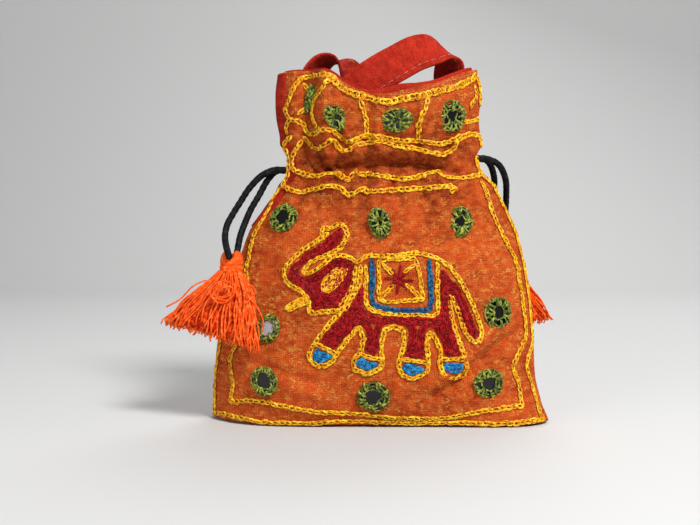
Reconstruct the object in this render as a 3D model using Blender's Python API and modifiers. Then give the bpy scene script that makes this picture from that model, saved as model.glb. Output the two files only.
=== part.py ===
"""A small gathered potli bag, embroidered in chain stitch with an elephant and set with round mirrors.

The bag stands on its base. +X is to the bag's right as its front is looked at, the front faces -Y,
and +Z is up. The origin is on the table, under the middle of the bag. Units are metres.

The embroidery is placed by points of the front as it is seen, in the pixels of a 700 x 525 frame.
VIEW_CENTRE, VIEW_TABLE and VIEW_SCALE turn such a point into a place across and up the drawn front,
and the drawn front is stretched to the driving sizes.
"""
import math

import bmesh
import bpy
from mathutils import Vector
from mathutils.bvhtree import BVHTree

# Driving sizes
BASE_WIDTH = 0.175
NECK_WIDTH = 0.106
BELLY_DEPTH = 0.062
NECK_HEIGHT = 0.132
RUFFLE_HEIGHT = 0.049
CLOTH_THICKNESS = 0.0012
BASE_THICKNESS = 0.0012
LINING_THICKNESS = 0.0007
PLEAT_COUNT = 7
PLEAT_DEPTH = 0.0015
CORD_DIAMETER = 0.0030
CHAIN_DIAMETER = 0.0020
SADDLE_BAND_DIAMETER = 0.0022
FILL_THICKNESS = 0.0008
MIRROR_RADIUS = 0.0050
MIRROR_THICKNESS = 0.0007
ROSETTE_SIDES = 12
RING_RADIUS = 0.0072
RING_WINDOW_RADIUS = 0.0037
RING_HEIGHT = 0.0021
RING_CHAMFER = 0.0009
STRAP_WIDTH = 0.0190
STRAP_THICKNESS = 0.0018
STRAP_STEP = 0.0045
CORD_SLOT_HEIGHT = 0.012
CORD_SLOT_SHARE = 0.08
CHANNEL_END_INSET = 0.0068
CHANNEL_COLUMNS = 14
LINING_COLUMNS = 14
TASSEL_SIDES = 14

# Clearances
SEAM_GAP = 0.0011
SEAT_GAP = 0.0003
LINING_GAP = 0.0004
TOP_LAYER_GAP = 0.0004

# The front as it is drawn, and the sizes that the drawing was made for
VIEW_CENTRE = 379.5
VIEW_TABLE = 427.0
VIEW_SCALE = 0.0005
DRAWN_BASE_WIDTH = 0.175
DRAWN_NECK_WIDTH = 0.106
DRAWN_NECK_HEIGHT = 0.132
DRAWN_RUFFLE_HEIGHT = 0.049
DRAWN_BELLY_DEPTH = 0.062
MM = 0.001

# Embroidery stays inside this share of the width, and this many drawn mm off the rim and the hem
EDGE_LIMIT = 0.965
RIM_LIMIT = 2.2
HEM_LIMIT = 2.4

# Height up the drawn bag, half widths left and right, depth to the front and back, squareness of
# the section, and how far the left and right side seams lie behind the middle plane, in mm
STATIONS = (
    (0, 87.5, 87.5, 22.5, 22.5, 6.0, 4.0, -11.0),
    (8, 86.6, 84.6, 26.2, 25.6, 4.6, 3.0, -8.0),
    (22, 86.0, 81.6, 29.5, 29.2, 3.4, 1.5, -4.0),
    (42, 83.8, 81.0, 31.0, 32.8, 2.8, 0.0, -1.0),
    (62, 80.4, 79.2, 30.4, 32.4, 2.6, 0.0, 0.0),
    (82, 73.0, 76.0, 28.4, 29.0, 2.5, 0.0, 0.0),
    (98, 67.0, 71.5, 26.0, 26.0, 2.4, 0.0, 0.0),
    (110, 58.5, 65.8, 23.6, 23.0, 2.4, 0.0, 0.0),
    (120, 52.0, 61.0, 21.6, 20.5, 2.4, 0.0, 0.0),
    (126, 50.6, 57.8, 20.0, 18.6, 2.4, 0.0, 0.0),
    (132, 51.0, 55.2, 17.4, 17.0, 2.4, 0.0, 0.0),
    (138, 50.6, 54.4, 19.4, 18.8, 2.4, 0.0, 0.0),
    (146, 50.6, 53.0, 23.4, 21.8, 2.5, 0.0, 0.0),
    (156, 52.4, 52.0, 24.6, 22.8, 2.5, 0.0, 0.0),
    (168, 52.8, 53.0, 23.8, 23.0, 2.5, 0.0, 0.0),
    (181, 51.4, 51.0, 22.0, 22.4, 2.5, 0.0, 0.0),
)
LEFT, RIGHT, FRONT, BACK, SQUARE, SEAM_LEFT, SEAM_RIGHT = range(1, 8)

# Rise of the gathers, the gap that the lining keeps to the cloth, and the rim, all in drawn mm
GATHER_RISE = ((0, 0), (96, 0), (112, 0.35), (124, 1), (142, 1), (154, 0.6), (181, 0.45))
RIM_LINE = (
    (-1.0, 179), (-0.72, 179), (-0.5, 177.5), (-0.34, 172), (-0.18, 167.5), (0.04, 166),
    (0.3, 169), (0.55, 172.5), (0.8, 177.5), (1.0, 181),
)
BACK_RIM_LINE = ((-1.0, 179), (-0.5, 173), (0.0, 167), (0.25, 167), (0.6, 172), (1.0, 181))
BODY_ROWS = (0.7, 4, 10, 20, 32, 46, 60, 74, 87, 98, 107, 114, 120, 125, 129)
RUFFLE_ROWS = (0, 0.08, 0.17, 0.27, 0.38, 0.52, 0.68, 0.84, 1)
LINING_INSET = (
    (0, 0.8), (30, 0.5), (96, 0.3), (114, 1.5), (124, 4.1), (140, 4.1), (150, 1.5), (181, 0.6),
)
LINING_END_INSET = (
    (0, 3.0), (30, 2.2), (96, 1.6), (114, 4.0), (124, 8.5), (140, 8.5), (150, 3.4), (181, 2.0),
)

FABRIC = (0.578, 0.091, 0.022)
PLAIN_RED = (0.610, 0.045, 0.021)
YELLOW_THREAD = (0.913, 0.485, 0.008)
RED_THREAD = (0.352, 0.005, 0.010)
BLUE_SADDLE_THREAD = (0.007, 0.127, 0.305)
BLUE_FOOT_THREAD = (0.007, 0.305, 0.716)
GREEN_THREAD = (0.223, 0.305, 0.032)
MIRROR_GLASS = (0.600, 0.620, 0.650)
TASSEL_ORANGE = (0.956, 0.127, 0.021)
CORD_BLACK = (0.010, 0.010, 0.012)


def empty_scene():
    """Removes what the scene holds, and gives the collection for the bag."""
    for old in list(bpy.data.objects):
        bpy.data.objects.remove(old, do_unlink=True)
    holder = bpy.data.collections.new("potli_bag")
    bpy.context.scene.collection.children.link(holder)
    return holder


def material(name, colour, roughness=0.8, metallic=0.0):
    finish = bpy.data.materials.new(name)
    finish.use_nodes = True
    shader = finish.node_tree.nodes["Principled BSDF"]
    shader.inputs["Base Color"].default_value = (*colour, 1)
    shader.inputs["Roughness"].default_value = roughness
    shader.inputs["Metallic"].default_value = metallic
    return finish


def add_object(name, data, finish):
    piece = bpy.data.objects.new(name, data)
    data.materials.append(finish)
    bag.objects.link(piece)
    return piece


def add_mesh(name, points, faces, finish):
    mesh = bpy.data.meshes.new(name)
    mesh.from_pydata([tuple(point) for point in points], [], faces)
    mesh.validate()
    mesh.shade_smooth()
    return add_object(name, mesh, finish)


def catmull(before, start, end, after, share):
    """A point on the smooth curve from start to end, whose ends lean on the points around them."""
    return 0.5 * (
        2 * start
        + (end - before) * share
        + (2 * before - 5 * start + 4 * end - after) * share**2
        + (3 * start - before - 3 * end + after) * share**3
    )


def smooth_route(points, step, closed=False):
    """Points about a step apart on the smooth curve through the given ones."""
    route = [Vector(point) for point in points]
    count = len(route)
    sampled = []
    for i in range(count if closed else count - 1):
        start, end = route[i], route[(i + 1) % count]
        before = route[i - 1] if closed or i > 0 else 2 * start - end
        after = route[(i + 2) % count] if closed or i + 2 < count else 2 * end - start
        pieces = max(1, round((end - start).length / step))
        sampled += [catmull(before, start, end, after, k / pieces) for k in range(pieces)]
    return sampled if closed else [*sampled, route[-1]]


def read_table(table, at, column=1):
    """A value between a table's rows, on a smooth curve that never overshoots a flat stretch."""
    at = min(max(at, table[0][0]), table[-1][0])
    i = max(k for k in range(len(table) - 1) if table[k][0] <= at)
    low, high = table[i], table[i + 1]
    before = table[max(i - 1, 0)][column]
    after = table[min(i + 2, len(table) - 1)][column]
    share = (at - low[0]) / (high[0] - low[0])
    value = catmull(before, low[column], high[column], after, share)
    bottom, top = sorted((low[column], high[column]))
    return min(max(value, bottom), top)


def height_of(up):
    """The real height of a height up the drawn bag, in mm."""
    neck = DRAWN_NECK_HEIGHT / MM
    if up <= neck:
        return up / neck * NECK_HEIGHT
    return NECK_HEIGHT + (up - neck) * MM * RUFFLE_HEIGHT / DRAWN_RUFFLE_HEIGHT


def width_scale(up):
    """How the drawn width is stretched: by the base's width low down, by the neck's above."""
    share = min(up * MM / DRAWN_NECK_HEIGHT, 1)
    ease = share * share * (3 - 2 * share)
    return BASE_WIDTH / DRAWN_BASE_WIDTH * (1 - ease) + NECK_WIDTH / DRAWN_NECK_WIDTH * ease


def side_x(across, up):
    """X of a place across the bag: -1 is the left side seam and 1 the right one."""
    left = read_table(STATIONS, up, LEFT)
    right = read_table(STATIONS, up, RIGHT)
    return ((right - left) / 2 + across * (right + left) / 2) * MM * width_scale(up)


def across_of(x, up):
    """The place across the bag, -1 to 1, of an X."""
    low, high = side_x(-1, up), side_x(1, up)
    return (2 * x - low - high) / (high - low)


def gather(across, up):
    """The pleats that the drawstring gathers, fading out down the body and towards the seams."""
    wave = math.cos(math.pi * PLEAT_COUNT * (math.asin(across) / math.pi * 2 + 1))
    return wave * PLEAT_DEPTH * read_table(GATHER_RISE, up) * (1 - across**2)


def side_point(across, up, side, pleated=True, inset=0.0, end_inset=0.0):
    """A point of the outer cloth, or of a like ring set in from it: side is FRONT or BACK."""
    square = read_table(STATIONS, up, SQUARE)
    bulge = (1 - abs(across) ** square) ** 0.7
    seam = read_table(STATIONS, up, SEAM_RIGHT if across > 0 else SEAM_LEFT) * abs(across) ** 3
    depth = (read_table(STATIONS, up, side) - inset / MM) * bulge * MM
    depth += gather(across, up) if pleated else 0
    turn = -1 if side == FRONT else 1
    y = (turn * depth + seam * MM) * BELLY_DEPTH / DRAWN_BELLY_DEPTH
    half_width = (side_x(1, up) - side_x(-1, up)) / 2
    x = side_x(across * (1 - end_inset / half_width), up)
    return Vector((x, y + turn * SEAM_GAP / 2, height_of(up)))


def slot_share(up):
    """How open the side seam is at a height: 1 over the cord slot, 0 away from it."""
    away = abs(height_of(up) - NECK_HEIGHT) / CORD_SLOT_HEIGHT
    return min(max((0.75 - away) / 0.25, 0), 1)


def cloth_panel(name, side, rim_line, columns, finish):
    """One side of the bag: a grid of points across and up it, thickened towards the inside."""
    neck = DRAWN_NECK_HEIGHT / MM
    rows = len(BODY_ROWS) + len(RUFFLE_ROWS)
    points = []
    for row in range(rows):
        for column in range(columns + 1):
            across = math.sin(math.pi / 2 * (2 * column / columns - 1))
            if row < len(BODY_ROWS):
                up = BODY_ROWS[row]
            else:
                rim = read_table(rim_line, across)
                up = neck + (rim - neck) * RUFFLE_ROWS[row - len(BODY_ROWS)]
            reach = 1 - CORD_SLOT_SHARE * slot_share(up)
            points.append(side_point(across * reach, up, side))
    faces = []
    for row in range(rows - 1):
        for column in range(columns):
            low = row * (columns + 1) + column
            high = low + columns + 1
            quad = (low, low + 1, high + 1, high)
            faces.append(quad if side == FRONT else quad[::-1])
    piece = add_mesh(name, points, faces, finish)
    wall = piece.modifiers.new("Cloth", "SOLIDIFY")
    wall.thickness = CLOTH_THICKNESS
    wall.offset = -1
    return piece


def ring_at(up_at, inset, end_inset, columns):
    """A closed ring of points round the bag, set in from the unpleated outer cloth."""
    ring = []
    for side, turn in ((FRONT, 1), (BACK, -1)):
        for column in range(columns):
            across = math.sin(math.pi / 2 * (2 * column / columns - 1)) * turn
            ring.append(side_point(across, up_at(across, side), side, False, inset, end_inset))
    return ring


def ring_shell(name, rings, finish):
    """A bag open at the top: rings joined upwards, and a floor under the first."""
    count = len(rings[0])
    points = [point for ring in rings for point in ring]
    faces = [tuple(range(count))[::-1]]
    for row in range(len(rings) - 1):
        for i in range(count):
            low = row * count + i
            low_next = row * count + (i + 1) % count
            faces.append((low, low_next, low_next + count, low + count))
    return add_mesh(name, points, faces, finish)


def lining_bag(finish):
    """The lining: a plain bag inside the outer one, set in from it to leave room for the cords."""
    neck = DRAWN_NECK_HEIGHT / MM
    rings = []
    for up in (0, 8, 20, 40, 62, 84, 102, 114, 123, 132, 141, 150):
        rings.append(lining_ring(up, lambda across, side, up=up: up))
    floor = BASE_THICKNESS + LINING_GAP
    rings[0] = [Vector((point.x, point.y, floor)) for point in rings[0]]
    for share in (0.75, 1):
        def rim(across, side, share=share):
            top = read_table(RIM_LINE if side == FRONT else BACK_RIM_LINE, across) - 0.6
            return neck + 18 + (top - neck - 18) * share

        rings.append(lining_ring(neck + 38, rim))
    piece = ring_shell("lining", rings, finish)
    sheet = piece.modifiers.new("Lining cloth", "SOLIDIFY")
    sheet.thickness = LINING_THICKNESS
    sheet.offset = -1
    return piece


def lining_ring(level, up_at):
    """One ring of the lining, at the clearance that its level needs."""
    inset = CLOTH_THICKNESS + LINING_GAP + read_table(LINING_INSET, level) * MM
    inset += PLEAT_DEPTH * read_table(GATHER_RISE, level)
    end_inset = CLOTH_THICKNESS + LINING_GAP + read_table(LINING_END_INSET, level) * MM
    return ring_at(up_at, inset, end_inset, LINING_COLUMNS)


def flat_plate(name, outline, thickness, finish):
    """A flat plate on the table: a filled outline with half its thickness to each side."""
    curve = bpy.data.curves.new(name, "CURVE")
    curve.dimensions = "2D"
    curve.fill_mode = "BOTH"
    curve.extrude = thickness / 2
    spline = curve.splines.new("POLY")
    spline.points.add(len(outline) - 1)
    for point, place in zip(spline.points, outline):
        point.co = (place.x, place.y, 0, 1)
    spline.use_cyclic_u = True
    piece = add_object(name, curve, finish)
    piece.location.z = thickness / 2
    return piece


def tube(name, route, diameter, sides_extra, finish):
    """A round tube along a route: 4 sides and two more for each step of sides_extra."""
    curve = bpy.data.curves.new(name, "CURVE")
    curve.dimensions = "3D"
    curve.bevel_depth = diameter / 2
    curve.bevel_resolution = sides_extra
    curve.use_fill_caps = True
    spline = curve.splines.new("POLY")
    spline.points.add(len(route) - 1)
    for point, place in zip(spline.points, route):
        point.co = (*place, 1)
    return add_object(name, curve, finish)


def drawn_place(pixel):
    """The X and the drawn height, in mm, of a point of the front's drawing."""
    up = (VIEW_TABLE - pixel[1]) * VIEW_SCALE / MM
    x = (pixel[0] - VIEW_CENTRE) * VIEW_SCALE * width_scale(up)
    limit = EDGE_LIMIT - CORD_SLOT_SHARE * slot_share(up)
    across = min(max(across_of(x, up), -limit), limit)
    return side_x(across, up), min(max(up, HEM_LIMIT), read_table(RIM_LINE, across) - RIM_LIMIT)


def cast(x, z):
    """Where a line from the front first meets the front panel, and that facet's normal."""
    place, normal, _, _ = front_surface.ray_cast(Vector((x, -1, z)), Vector((0, 1, 0)))
    return place, normal


def seat(pixel, lift):
    """A point above the front panel by lift, over a point of the drawing."""
    x, up = drawn_place(pixel)
    z = height_of(up)
    spread = 2 * MM
    place, facing = cast(x, z)
    normal = Vector(facing)
    for dx, dz in ((spread, 0), (-spread, 0), (0, spread), (0, -spread)):
        near = cast(x + dx, z + dz)[1]
        if near is not None:
            normal += near
    return place + normal.normalized() * lift, normal.normalized()


def chain_line(name, pixels, diameter, finish, step=8, closed=False):
    """A row of chain stitch, drawn as a cord that lies on the front panel."""
    flat = smooth_route([(*pixel, 0) for pixel in pixels], step, closed)
    if closed:
        flat.append(flat[0] + (flat[-1] - flat[0]).normalized() * diameter * 2.4 / VIEW_SCALE)
    lift = diameter / 2 + SEAT_GAP
    route = [seat(pixel, lift)[0] for pixel in flat]
    return tube(name, route, diameter, 0, finish)


def stitch_fill(name, pixels, lift, finish, cell=14, step=7):
    """A filled motif: its outline cut into cells, laid on the front panel and thickened."""
    outline = smooth_route([(*pixel, 0) for pixel in pixels], step, closed=True)
    mesh = bmesh.new()
    mesh.faces.new([mesh.verts.new((point.x, 0, -point.y)) for point in outline])
    for axis, reach in ((0, range(200, 600, cell)), (2, range(-440, -80, cell))):
        for cut in reach:
            place = Vector((0, 0, 0))
            place[axis] = cut
            normal = Vector((0, 0, 0))
            normal[axis] = 1
            whole = mesh.verts[:] + mesh.edges[:] + mesh.faces[:]
            bmesh.ops.bisect_plane(mesh, geom=whole, dist=0.01, plane_co=place, plane_no=normal)
    bmesh.ops.triangulate(mesh, faces=mesh.faces[:])
    for vert in mesh.verts:
        vert.co = seat((vert.co.x, -vert.co.z), lift)[0]
    bmesh.ops.recalc_face_normals(mesh, faces=mesh.faces[:])
    if sum(face.normal.y * face.calc_area() for face in mesh.faces) > 0:
        bmesh.ops.reverse_faces(mesh, faces=mesh.faces[:])
    data = bpy.data.meshes.new(name)
    mesh.to_mesh(data)
    mesh.free()
    piece = add_object(name, data, finish)
    thread = piece.modifiers.new("Thread", "SOLIDIFY")
    thread.thickness = FILL_THICKNESS
    thread.offset = 1
    return piece


def seated_frame(pixel):
    """The place and turn of a round piece that clears the cloth all round under its rim."""
    place, normal = seat(pixel, 0)
    turn = normal.to_track_quat("Z", "Y")
    probe = 10 * MM
    lift = 0
    for k in range(ROSETTE_SIDES):
        angle = math.tau * k / ROSETTE_SIDES
        rim = turn @ Vector((math.cos(angle), math.sin(angle), 0)) * RING_RADIUS
        found = front_surface.ray_cast(place + rim + normal * probe, -normal)
        if found[0] is not None and found[3] < 2 * probe:
            lift = max(lift, probe - found[3])
    return place + normal * (lift + SEAT_GAP), turn


def rosette(number, pixel, glass, thread):
    """A round mirror on the cloth, and the ring of buttonhole stitch that holds its edge down."""
    place, turn = seated_frame(pixel)
    bpy.ops.mesh.primitive_cylinder_add(
        vertices=ROSETTE_SIDES, radius=MIRROR_RADIUS, depth=MIRROR_THICKNESS
    )
    mirror = bpy.context.object
    for holder in mirror.users_collection:
        holder.objects.unlink(mirror)
    bag.objects.link(mirror)
    mirror.name = f"mirror_{number:02d}"
    mirror.data.materials.append(glass)
    mirror.rotation_euler = turn.to_euler()
    mirror.location = place + turn @ Vector((0, 0, MIRROR_THICKNESS / 2))

    lip = MIRROR_THICKNESS + SEAT_GAP
    inner = MIRROR_RADIUS + SEAT_GAP
    outer = RING_RADIUS
    profile = (
        (outer - RING_CHAMFER, RING_HEIGHT),
        (outer, RING_HEIGHT / 2),
        (outer - RING_CHAMFER / 3, 0),
        (inner, 0),
        (inner, lip),
        (RING_WINDOW_RADIUS, lip),
        (RING_WINDOW_RADIUS + RING_CHAMFER, RING_HEIGHT),
    )
    mesh = bpy.data.meshes.new(f"mirror_ring_{number:02d}")
    edges = [(i, (i + 1) % len(profile)) for i in range(len(profile))]
    mesh.from_pydata([(radius, 0, height) for radius, height in profile], edges, [])
    ring = add_object(mesh.name, mesh, thread)
    spin = ring.modifiers.new("Turn", "SCREW")
    spin.steps = spin.render_steps = ROSETTE_SIDES
    spin.use_merge_vertices = True
    spin.merge_threshold = 0.00001
    ring.rotation_euler = turn.to_euler()
    ring.location = place


def loft(name, sections, finish):
    """A closed solid through rings of points, which turn anticlockwise as seen from its far end."""
    count = len(sections[0])
    points = [point for section in sections for point in section]
    faces = [tuple(range(count))[::-1]]
    for row in range(len(sections) - 1):
        for i in range(count):
            low = row * count + i
            low_next = row * count + (i + 1) % count
            faces.append((low, low_next, low_next + count, low + count))
    last = (len(sections) - 1) * count
    faces.append(tuple(last + i for i in range(count)))
    mesh = bmesh.new()
    verts = [mesh.verts.new(point) for point in points]
    for face in faces:
        mesh.faces.new([verts[i] for i in face])
    bmesh.ops.recalc_face_normals(mesh, faces=mesh.faces[:])
    data = bpy.data.meshes.new(name)
    mesh.to_mesh(data)
    mesh.free()
    return add_object(name, data, finish)


def neck_place(x, y, up):
    """A drawn point of the ruffle, in mm, at the real sizes of the neck and the ruffle."""
    wide = x * MM * NECK_WIDTH / DRAWN_NECK_WIDTH
    deep = y * MM * BELLY_DEPTH / DRAWN_BELLY_DEPTH
    return Vector((wide, deep, height_of(up)))


def handle_strap(finish):
    """The handle: a flat strap sewn in at both side seams, whose middle has sunk into the mouth.

    Each station holds the middle of the strap and the way its width points, in mm.
    """
    stations = (
        ((37.4, 5.0, 157), (-0.80, 0.60, 0.0)),
        ((37.6, 5.0, 168), (-0.80, 0.60, 0.0)),
        ((37.2, 5.0, 178), (-0.80, 0.60, 0.0)),
        ((37.2, 2.4, 186), (-0.62, 0.76, 0.2)),
        ((34.0, -1.0, 190.5), (-0.25, 0.83, 0.5)),
        ((27.3, -4.5, 190.9), (-0.25, 0.45, 0.86)),
        ((18.5, -6.7, 188.4), (-0.40, 0.20, 0.89)),
        ((9.6, -9.6, 183.4), (-0.50, 0.08, 0.86)),
        ((0.7, -12.0, 177.9), (-0.52, 0.0, 0.85)),
        ((-7.3, -13.2, 172.4), (-0.54, 0.0, 0.84)),
        ((-15.0, -12.0, 166), (-0.68, 0.05, 0.73)),
        ((-18.5, -7.0, 158.5), (-0.90, 0.10, 0.42)),
        ((-17.0, 0.0, 156), (-0.98, -0.10, 0.1)),
        ((-13.0, 6.0, 160), (-0.94, -0.33, -0.1)),
        ((-10.0, 7.5, 168), (-0.80, -0.55, -0.2)),
        ((-11.0, 6.0, 176), (-0.55, -0.70, -0.45)),
        ((-16.0, 4.5, 182.5), (-0.35, -0.78, -0.52)),
        ((-23.0, 3.5, 186), (-0.10, -0.98, 0.10)),
        ((-30.0, 3.0, 183.5), (-0.22, -0.90, 0.38)),
        ((-35.0, 3.0, 177), (-0.50, -0.84, 0.22)),
        ((-37.0, 3.0, 168), (-0.62, -0.78, 0.0)),
        ((-37.5, 3.0, 157), (-0.62, -0.78, 0.0)),
    )
    route = smooth_route([(*neck_place(*at), *Vector(wide) * MM) for at, wide in stations], STRAP_STEP)
    middles = [Vector(row[:3]) for row in route]
    sections = []
    for i, row in enumerate(route):
        along = (middles[min(i + 1, len(middles) - 1)] - middles[max(i - 1, 0)]).normalized()
        wide = Vector(row[3:])
        wide = (wide - along * wide.dot(along)).normalized() * STRAP_WIDTH / 2
        thick = along.cross(wide).normalized() * STRAP_THICKNESS / 2
        corners = (wide + thick, thick - wide, -wide - thick, wide - thick)
        sections.append([middles[i] + corner for corner in corners])
    return loft("handle_strap", sections, finish)


def channel_route(level, side):
    """The cord's way round the neck, between cloth and lining, from one exit back to it."""
    inset = CLOTH_THICKNESS + PLEAT_DEPTH + SEAT_GAP + CORD_DIAMETER / 2
    rings = ring_at(lambda across, _: level, inset, CHANNEL_END_INSET, CHANNEL_COLUMNS)
    start = 0 if side < 0 else CHANNEL_COLUMNS
    turned = rings[start:] + rings[:start]
    if side > 0:
        turned = turned[:1] + turned[:0:-1]
    return turned[2:-1]


def drawcord(name, side, level, leaving, returning, finish):
    """One drawcord: out of its tassel, round the neck in the channel and back to the tassel."""
    shift = Vector((NECK_WIDTH - DRAWN_NECK_WIDTH, 0, 0)) / 2 * side
    lift = Vector((0, 0, NECK_HEIGHT - DRAWN_NECK_HEIGHT))
    out = [Vector(point) * MM + shift + lift for point in leaving]
    back = [Vector(point) * MM + shift + lift for point in returning]
    route = smooth_route(out + channel_route(level, side) + back, 2.4 * CORD_DIAMETER)
    return tube(name, route, CORD_DIAMETER, 2, finish)


def tassel(name, levels, side, finish):
    """A tassel: a tied head over a skirt of yarn that spreads to one side.

    Each level holds the middle, half the width along the fan, half its thickness and how far its
    right end is raised, in mm, and the direction of the fan's width in degrees.
    """
    shift = Vector((NECK_WIDTH - DRAWN_NECK_WIDTH, 0, 0)) / 2 * side
    lift = Vector((0, 0, NECK_HEIGHT - DRAWN_NECK_HEIGHT))
    sections = []
    for (x, y, z), half_width, half_depth, raised, angle in levels:
        turn = math.radians(angle)
        along = Vector((math.cos(turn), math.sin(turn), 0))
        beside = Vector((-along.y, along.x, 0))
        section = []
        for k in range(TASSEL_SIDES):
            round_turn = math.tau * k / TASSEL_SIDES
            reach = math.cos(round_turn) * half_width
            deep = math.sin(round_turn) * half_depth
            rise = Vector((0, 0, raised * reach / half_width))
            place = Vector((x, y, z)) + along * reach + rise
            section.append((place + beside * deep) * MM + shift + lift)
        sections.append(section)
    return loft(name, sections, finish)


bag = empty_scene()
fabric = material("embroidered_cotton", FABRIC)
red_cotton = material("plain_red_cotton", PLAIN_RED)
yellow = material("yellow_thread", YELLOW_THREAD, 0.45)
red = material("red_thread", RED_THREAD, 0.45)
saddle_blue = material("saddle_blue_thread", BLUE_SADDLE_THREAD, 0.45)
foot_blue = material("foot_blue_thread", BLUE_FOOT_THREAD, 0.45)
green = material("green_thread", GREEN_THREAD, 0.5)
mirror_glass = material("mirror_glass", MIRROR_GLASS, 0.08, 1.0)
tassel_yarn = material("tassel_yarn", TASSEL_ORANGE)
black_cord = material("black_cord", CORD_BLACK, 0.6)

front_panel = cloth_panel("front_panel", FRONT, RIM_LINE, 30, fabric)
cloth_panel("back_panel", BACK, BACK_RIM_LINE, 20, red_cotton)
lining_bag(red_cotton)
base_inset = CLOTH_THICKNESS + LINING_GAP
base_outline = ring_at(lambda across, side: 0, base_inset, 2.2 * base_inset, 16)
flat_plate("base_panel", base_outline, BASE_THICKNESS, red_cotton)
handle_strap(red_cotton)

bpy.context.view_layer.update()
front_surface = BVHTree.FromObject(front_panel, bpy.context.evaluated_depsgraph_get())

# Rows of yellow chain stitch that frame the front
chain_line(
    "border_outer",
    (
        (286, 181), (277, 194), (266, 211),
        (255, 232), (250, 252), (239, 285), (227, 318), (220, 345), (215, 370), (210, 398),
        (217, 413), (242, 419), (272, 423.5), (303, 424.5), (350, 422), (405, 423.5),
        (467, 423), (508, 424), (541, 420), (541, 410), (533, 388), (527, 368), (529, 355),
        (534, 338), (532, 318), (529, 292), (523, 261), (515, 231), (503, 203), (494, 188),
        (490, 180),
    ),
    CHAIN_DIAMETER, yellow, step=13,
)
chain_line(
    "border_inner",
    (
        (285, 189), (278, 205), (268, 223), (262, 245), (257, 268), (249, 300), (240, 330),
        (232, 362), (232, 384), (230, 402), (257, 403), (288, 408), (318, 413), (350, 413),
        (401, 415.5), (447, 415), (478, 412), (521, 406), (518, 384), (512, 368), (517, 354),
        (524, 338), (524, 325), (519, 292), (514, 264), (506, 244), (494, 218), (487, 200),
        (480, 186),
    ),
    CHAIN_DIAMETER, yellow, step=13,
)
chain_line(
    "neck_frame",
    (
        (301, 152), (298, 158), (296, 167), (299, 174), (310, 177), (325, 175.5), (339, 175),
        (347, 179), (356, 173), (370, 174), (385, 177), (400, 178), (415, 177.5), (435, 174),
        (455, 178), (474, 177), (478, 168), (475, 160),
    ),
    CHAIN_DIAMETER, yellow, step=9,
)
chain_line(
    "neck_lower",
    (
        (288, 184.5), (300, 190), (318, 187), (336, 185.5), (347, 191), (358, 187), (366, 189),
        (385, 189), (405, 189), (430, 188), (453, 189),
    ),
    CHAIN_DIAMETER, yellow, step=9,
)
chain_line(
    "ruffle_top",
    (
        (286, 118), (285, 108), (289, 94), (297, 85), (310, 80), (324, 79), (333, 84), (345, 93),
        (362, 99), (385, 104), (402, 102), (430, 95), (452, 89), (468, 83), (474, 90), (476, 104),
        (473, 118),
    ),
    CHAIN_DIAMETER, yellow, step=9,
)
chain_line(
    "ruffle_lower",
    (
        (289, 125), (300, 128), (314, 137), (330, 134), (347, 143), (357, 141), (380, 140),
        (405, 143), (430, 145), (450, 143), (463, 137), (472, 128),
    ),
    CHAIN_DIAMETER, yellow, step=9,
)
for divider, pixels in enumerate(
    (
        ((327, 86), (321, 98), (318, 112), (317, 126)),
        ((360, 105), (364, 114), (366, 124), (362, 134)),
        ((427, 102), (425, 110), (421, 122), (419, 137)),
        ((470, 92), (464, 103), (464, 116), (460, 131)),
    ),
    start=1,
):
    chain_line(f"ruffle_divider_{divider}", pixels, CHAIN_DIAMETER, yellow, step=9)

# The elephant: red fills, a yellow ear and tusk, blue feet, and the yellow rows round them
bottom_layer = SEAT_GAP
top_layer = SEAT_GAP + FILL_THICKNESS + TOP_LAYER_GAP
stitch_fill(
    "elephant_head",
    (
        (341, 230), (343, 236), (339, 243), (332, 249), (316, 256), (306, 262), (299, 271),
        (301, 277), (309, 277), (321, 270), (330, 262), (339, 259), (346, 260), (354, 266),
        (353, 280), (349, 292), (342, 300), (339, 307), (323, 308.5), (314, 308), (311, 299),
        (306, 292), (296, 284), (289, 278), (290, 270), (300, 259.5), (311, 250), (323, 242.5),
        (331, 236),
    ),
    bottom_layer, red,
)
stitch_fill(
    "elephant_body",
    (
        (363, 289), (362, 306), (369, 315), (390, 318.5), (412, 319), (436, 319), (440.5, 313),
        (441, 293), (441, 272), (446, 274), (456, 285), (466, 302), (472, 317), (478, 335),
        (474, 338), (464, 326), (457, 311), (450, 297), (449, 303), (450, 317), (452, 330),
        (456, 343), (459, 354), (447, 356), (442, 343), (436, 331), (430, 325), (424, 330),
        (424, 343), (423, 355.5), (407, 355.5), (409, 342), (409, 328), (394, 322),
        (381, 328), (378, 342), (377, 354), (366, 351), (367, 338), (365, 326), (357, 323),
        (348, 333), (340, 342), (335, 347), (322, 341), (332, 327), (344, 316), (355, 300),
    ),
    bottom_layer, red,
)
stitch_fill(
    "elephant_ear",
    (
        (322, 284), (322, 291.5), (329, 292), (338, 286), (347, 272), (341, 268), (330, 274),
    ),
    top_layer, yellow,
)
stitch_fill(
    "elephant_tusk",
    ((285.5, 307), (291, 311.5), (304, 304.8), (304, 299.5), (293, 301)),
    bottom_layer, yellow,
)
chain_line(
    "elephant_trunk_line",
    (
        (343, 311.5), (330, 312), (320, 313), (309, 313.5), (307.5, 303), (303, 295), (293, 288),
        (285.5, 281), (284, 274), (287, 266), (296, 256), (308, 246.5), (320, 239), (328, 231),
        (338, 225.5), (344, 227), (347, 235), (343.5, 244), (335, 251.5), (322, 256.5),
        (311, 262.5), (305.5, 267.5),
    ),
    CHAIN_DIAMETER, yellow,
)
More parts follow.
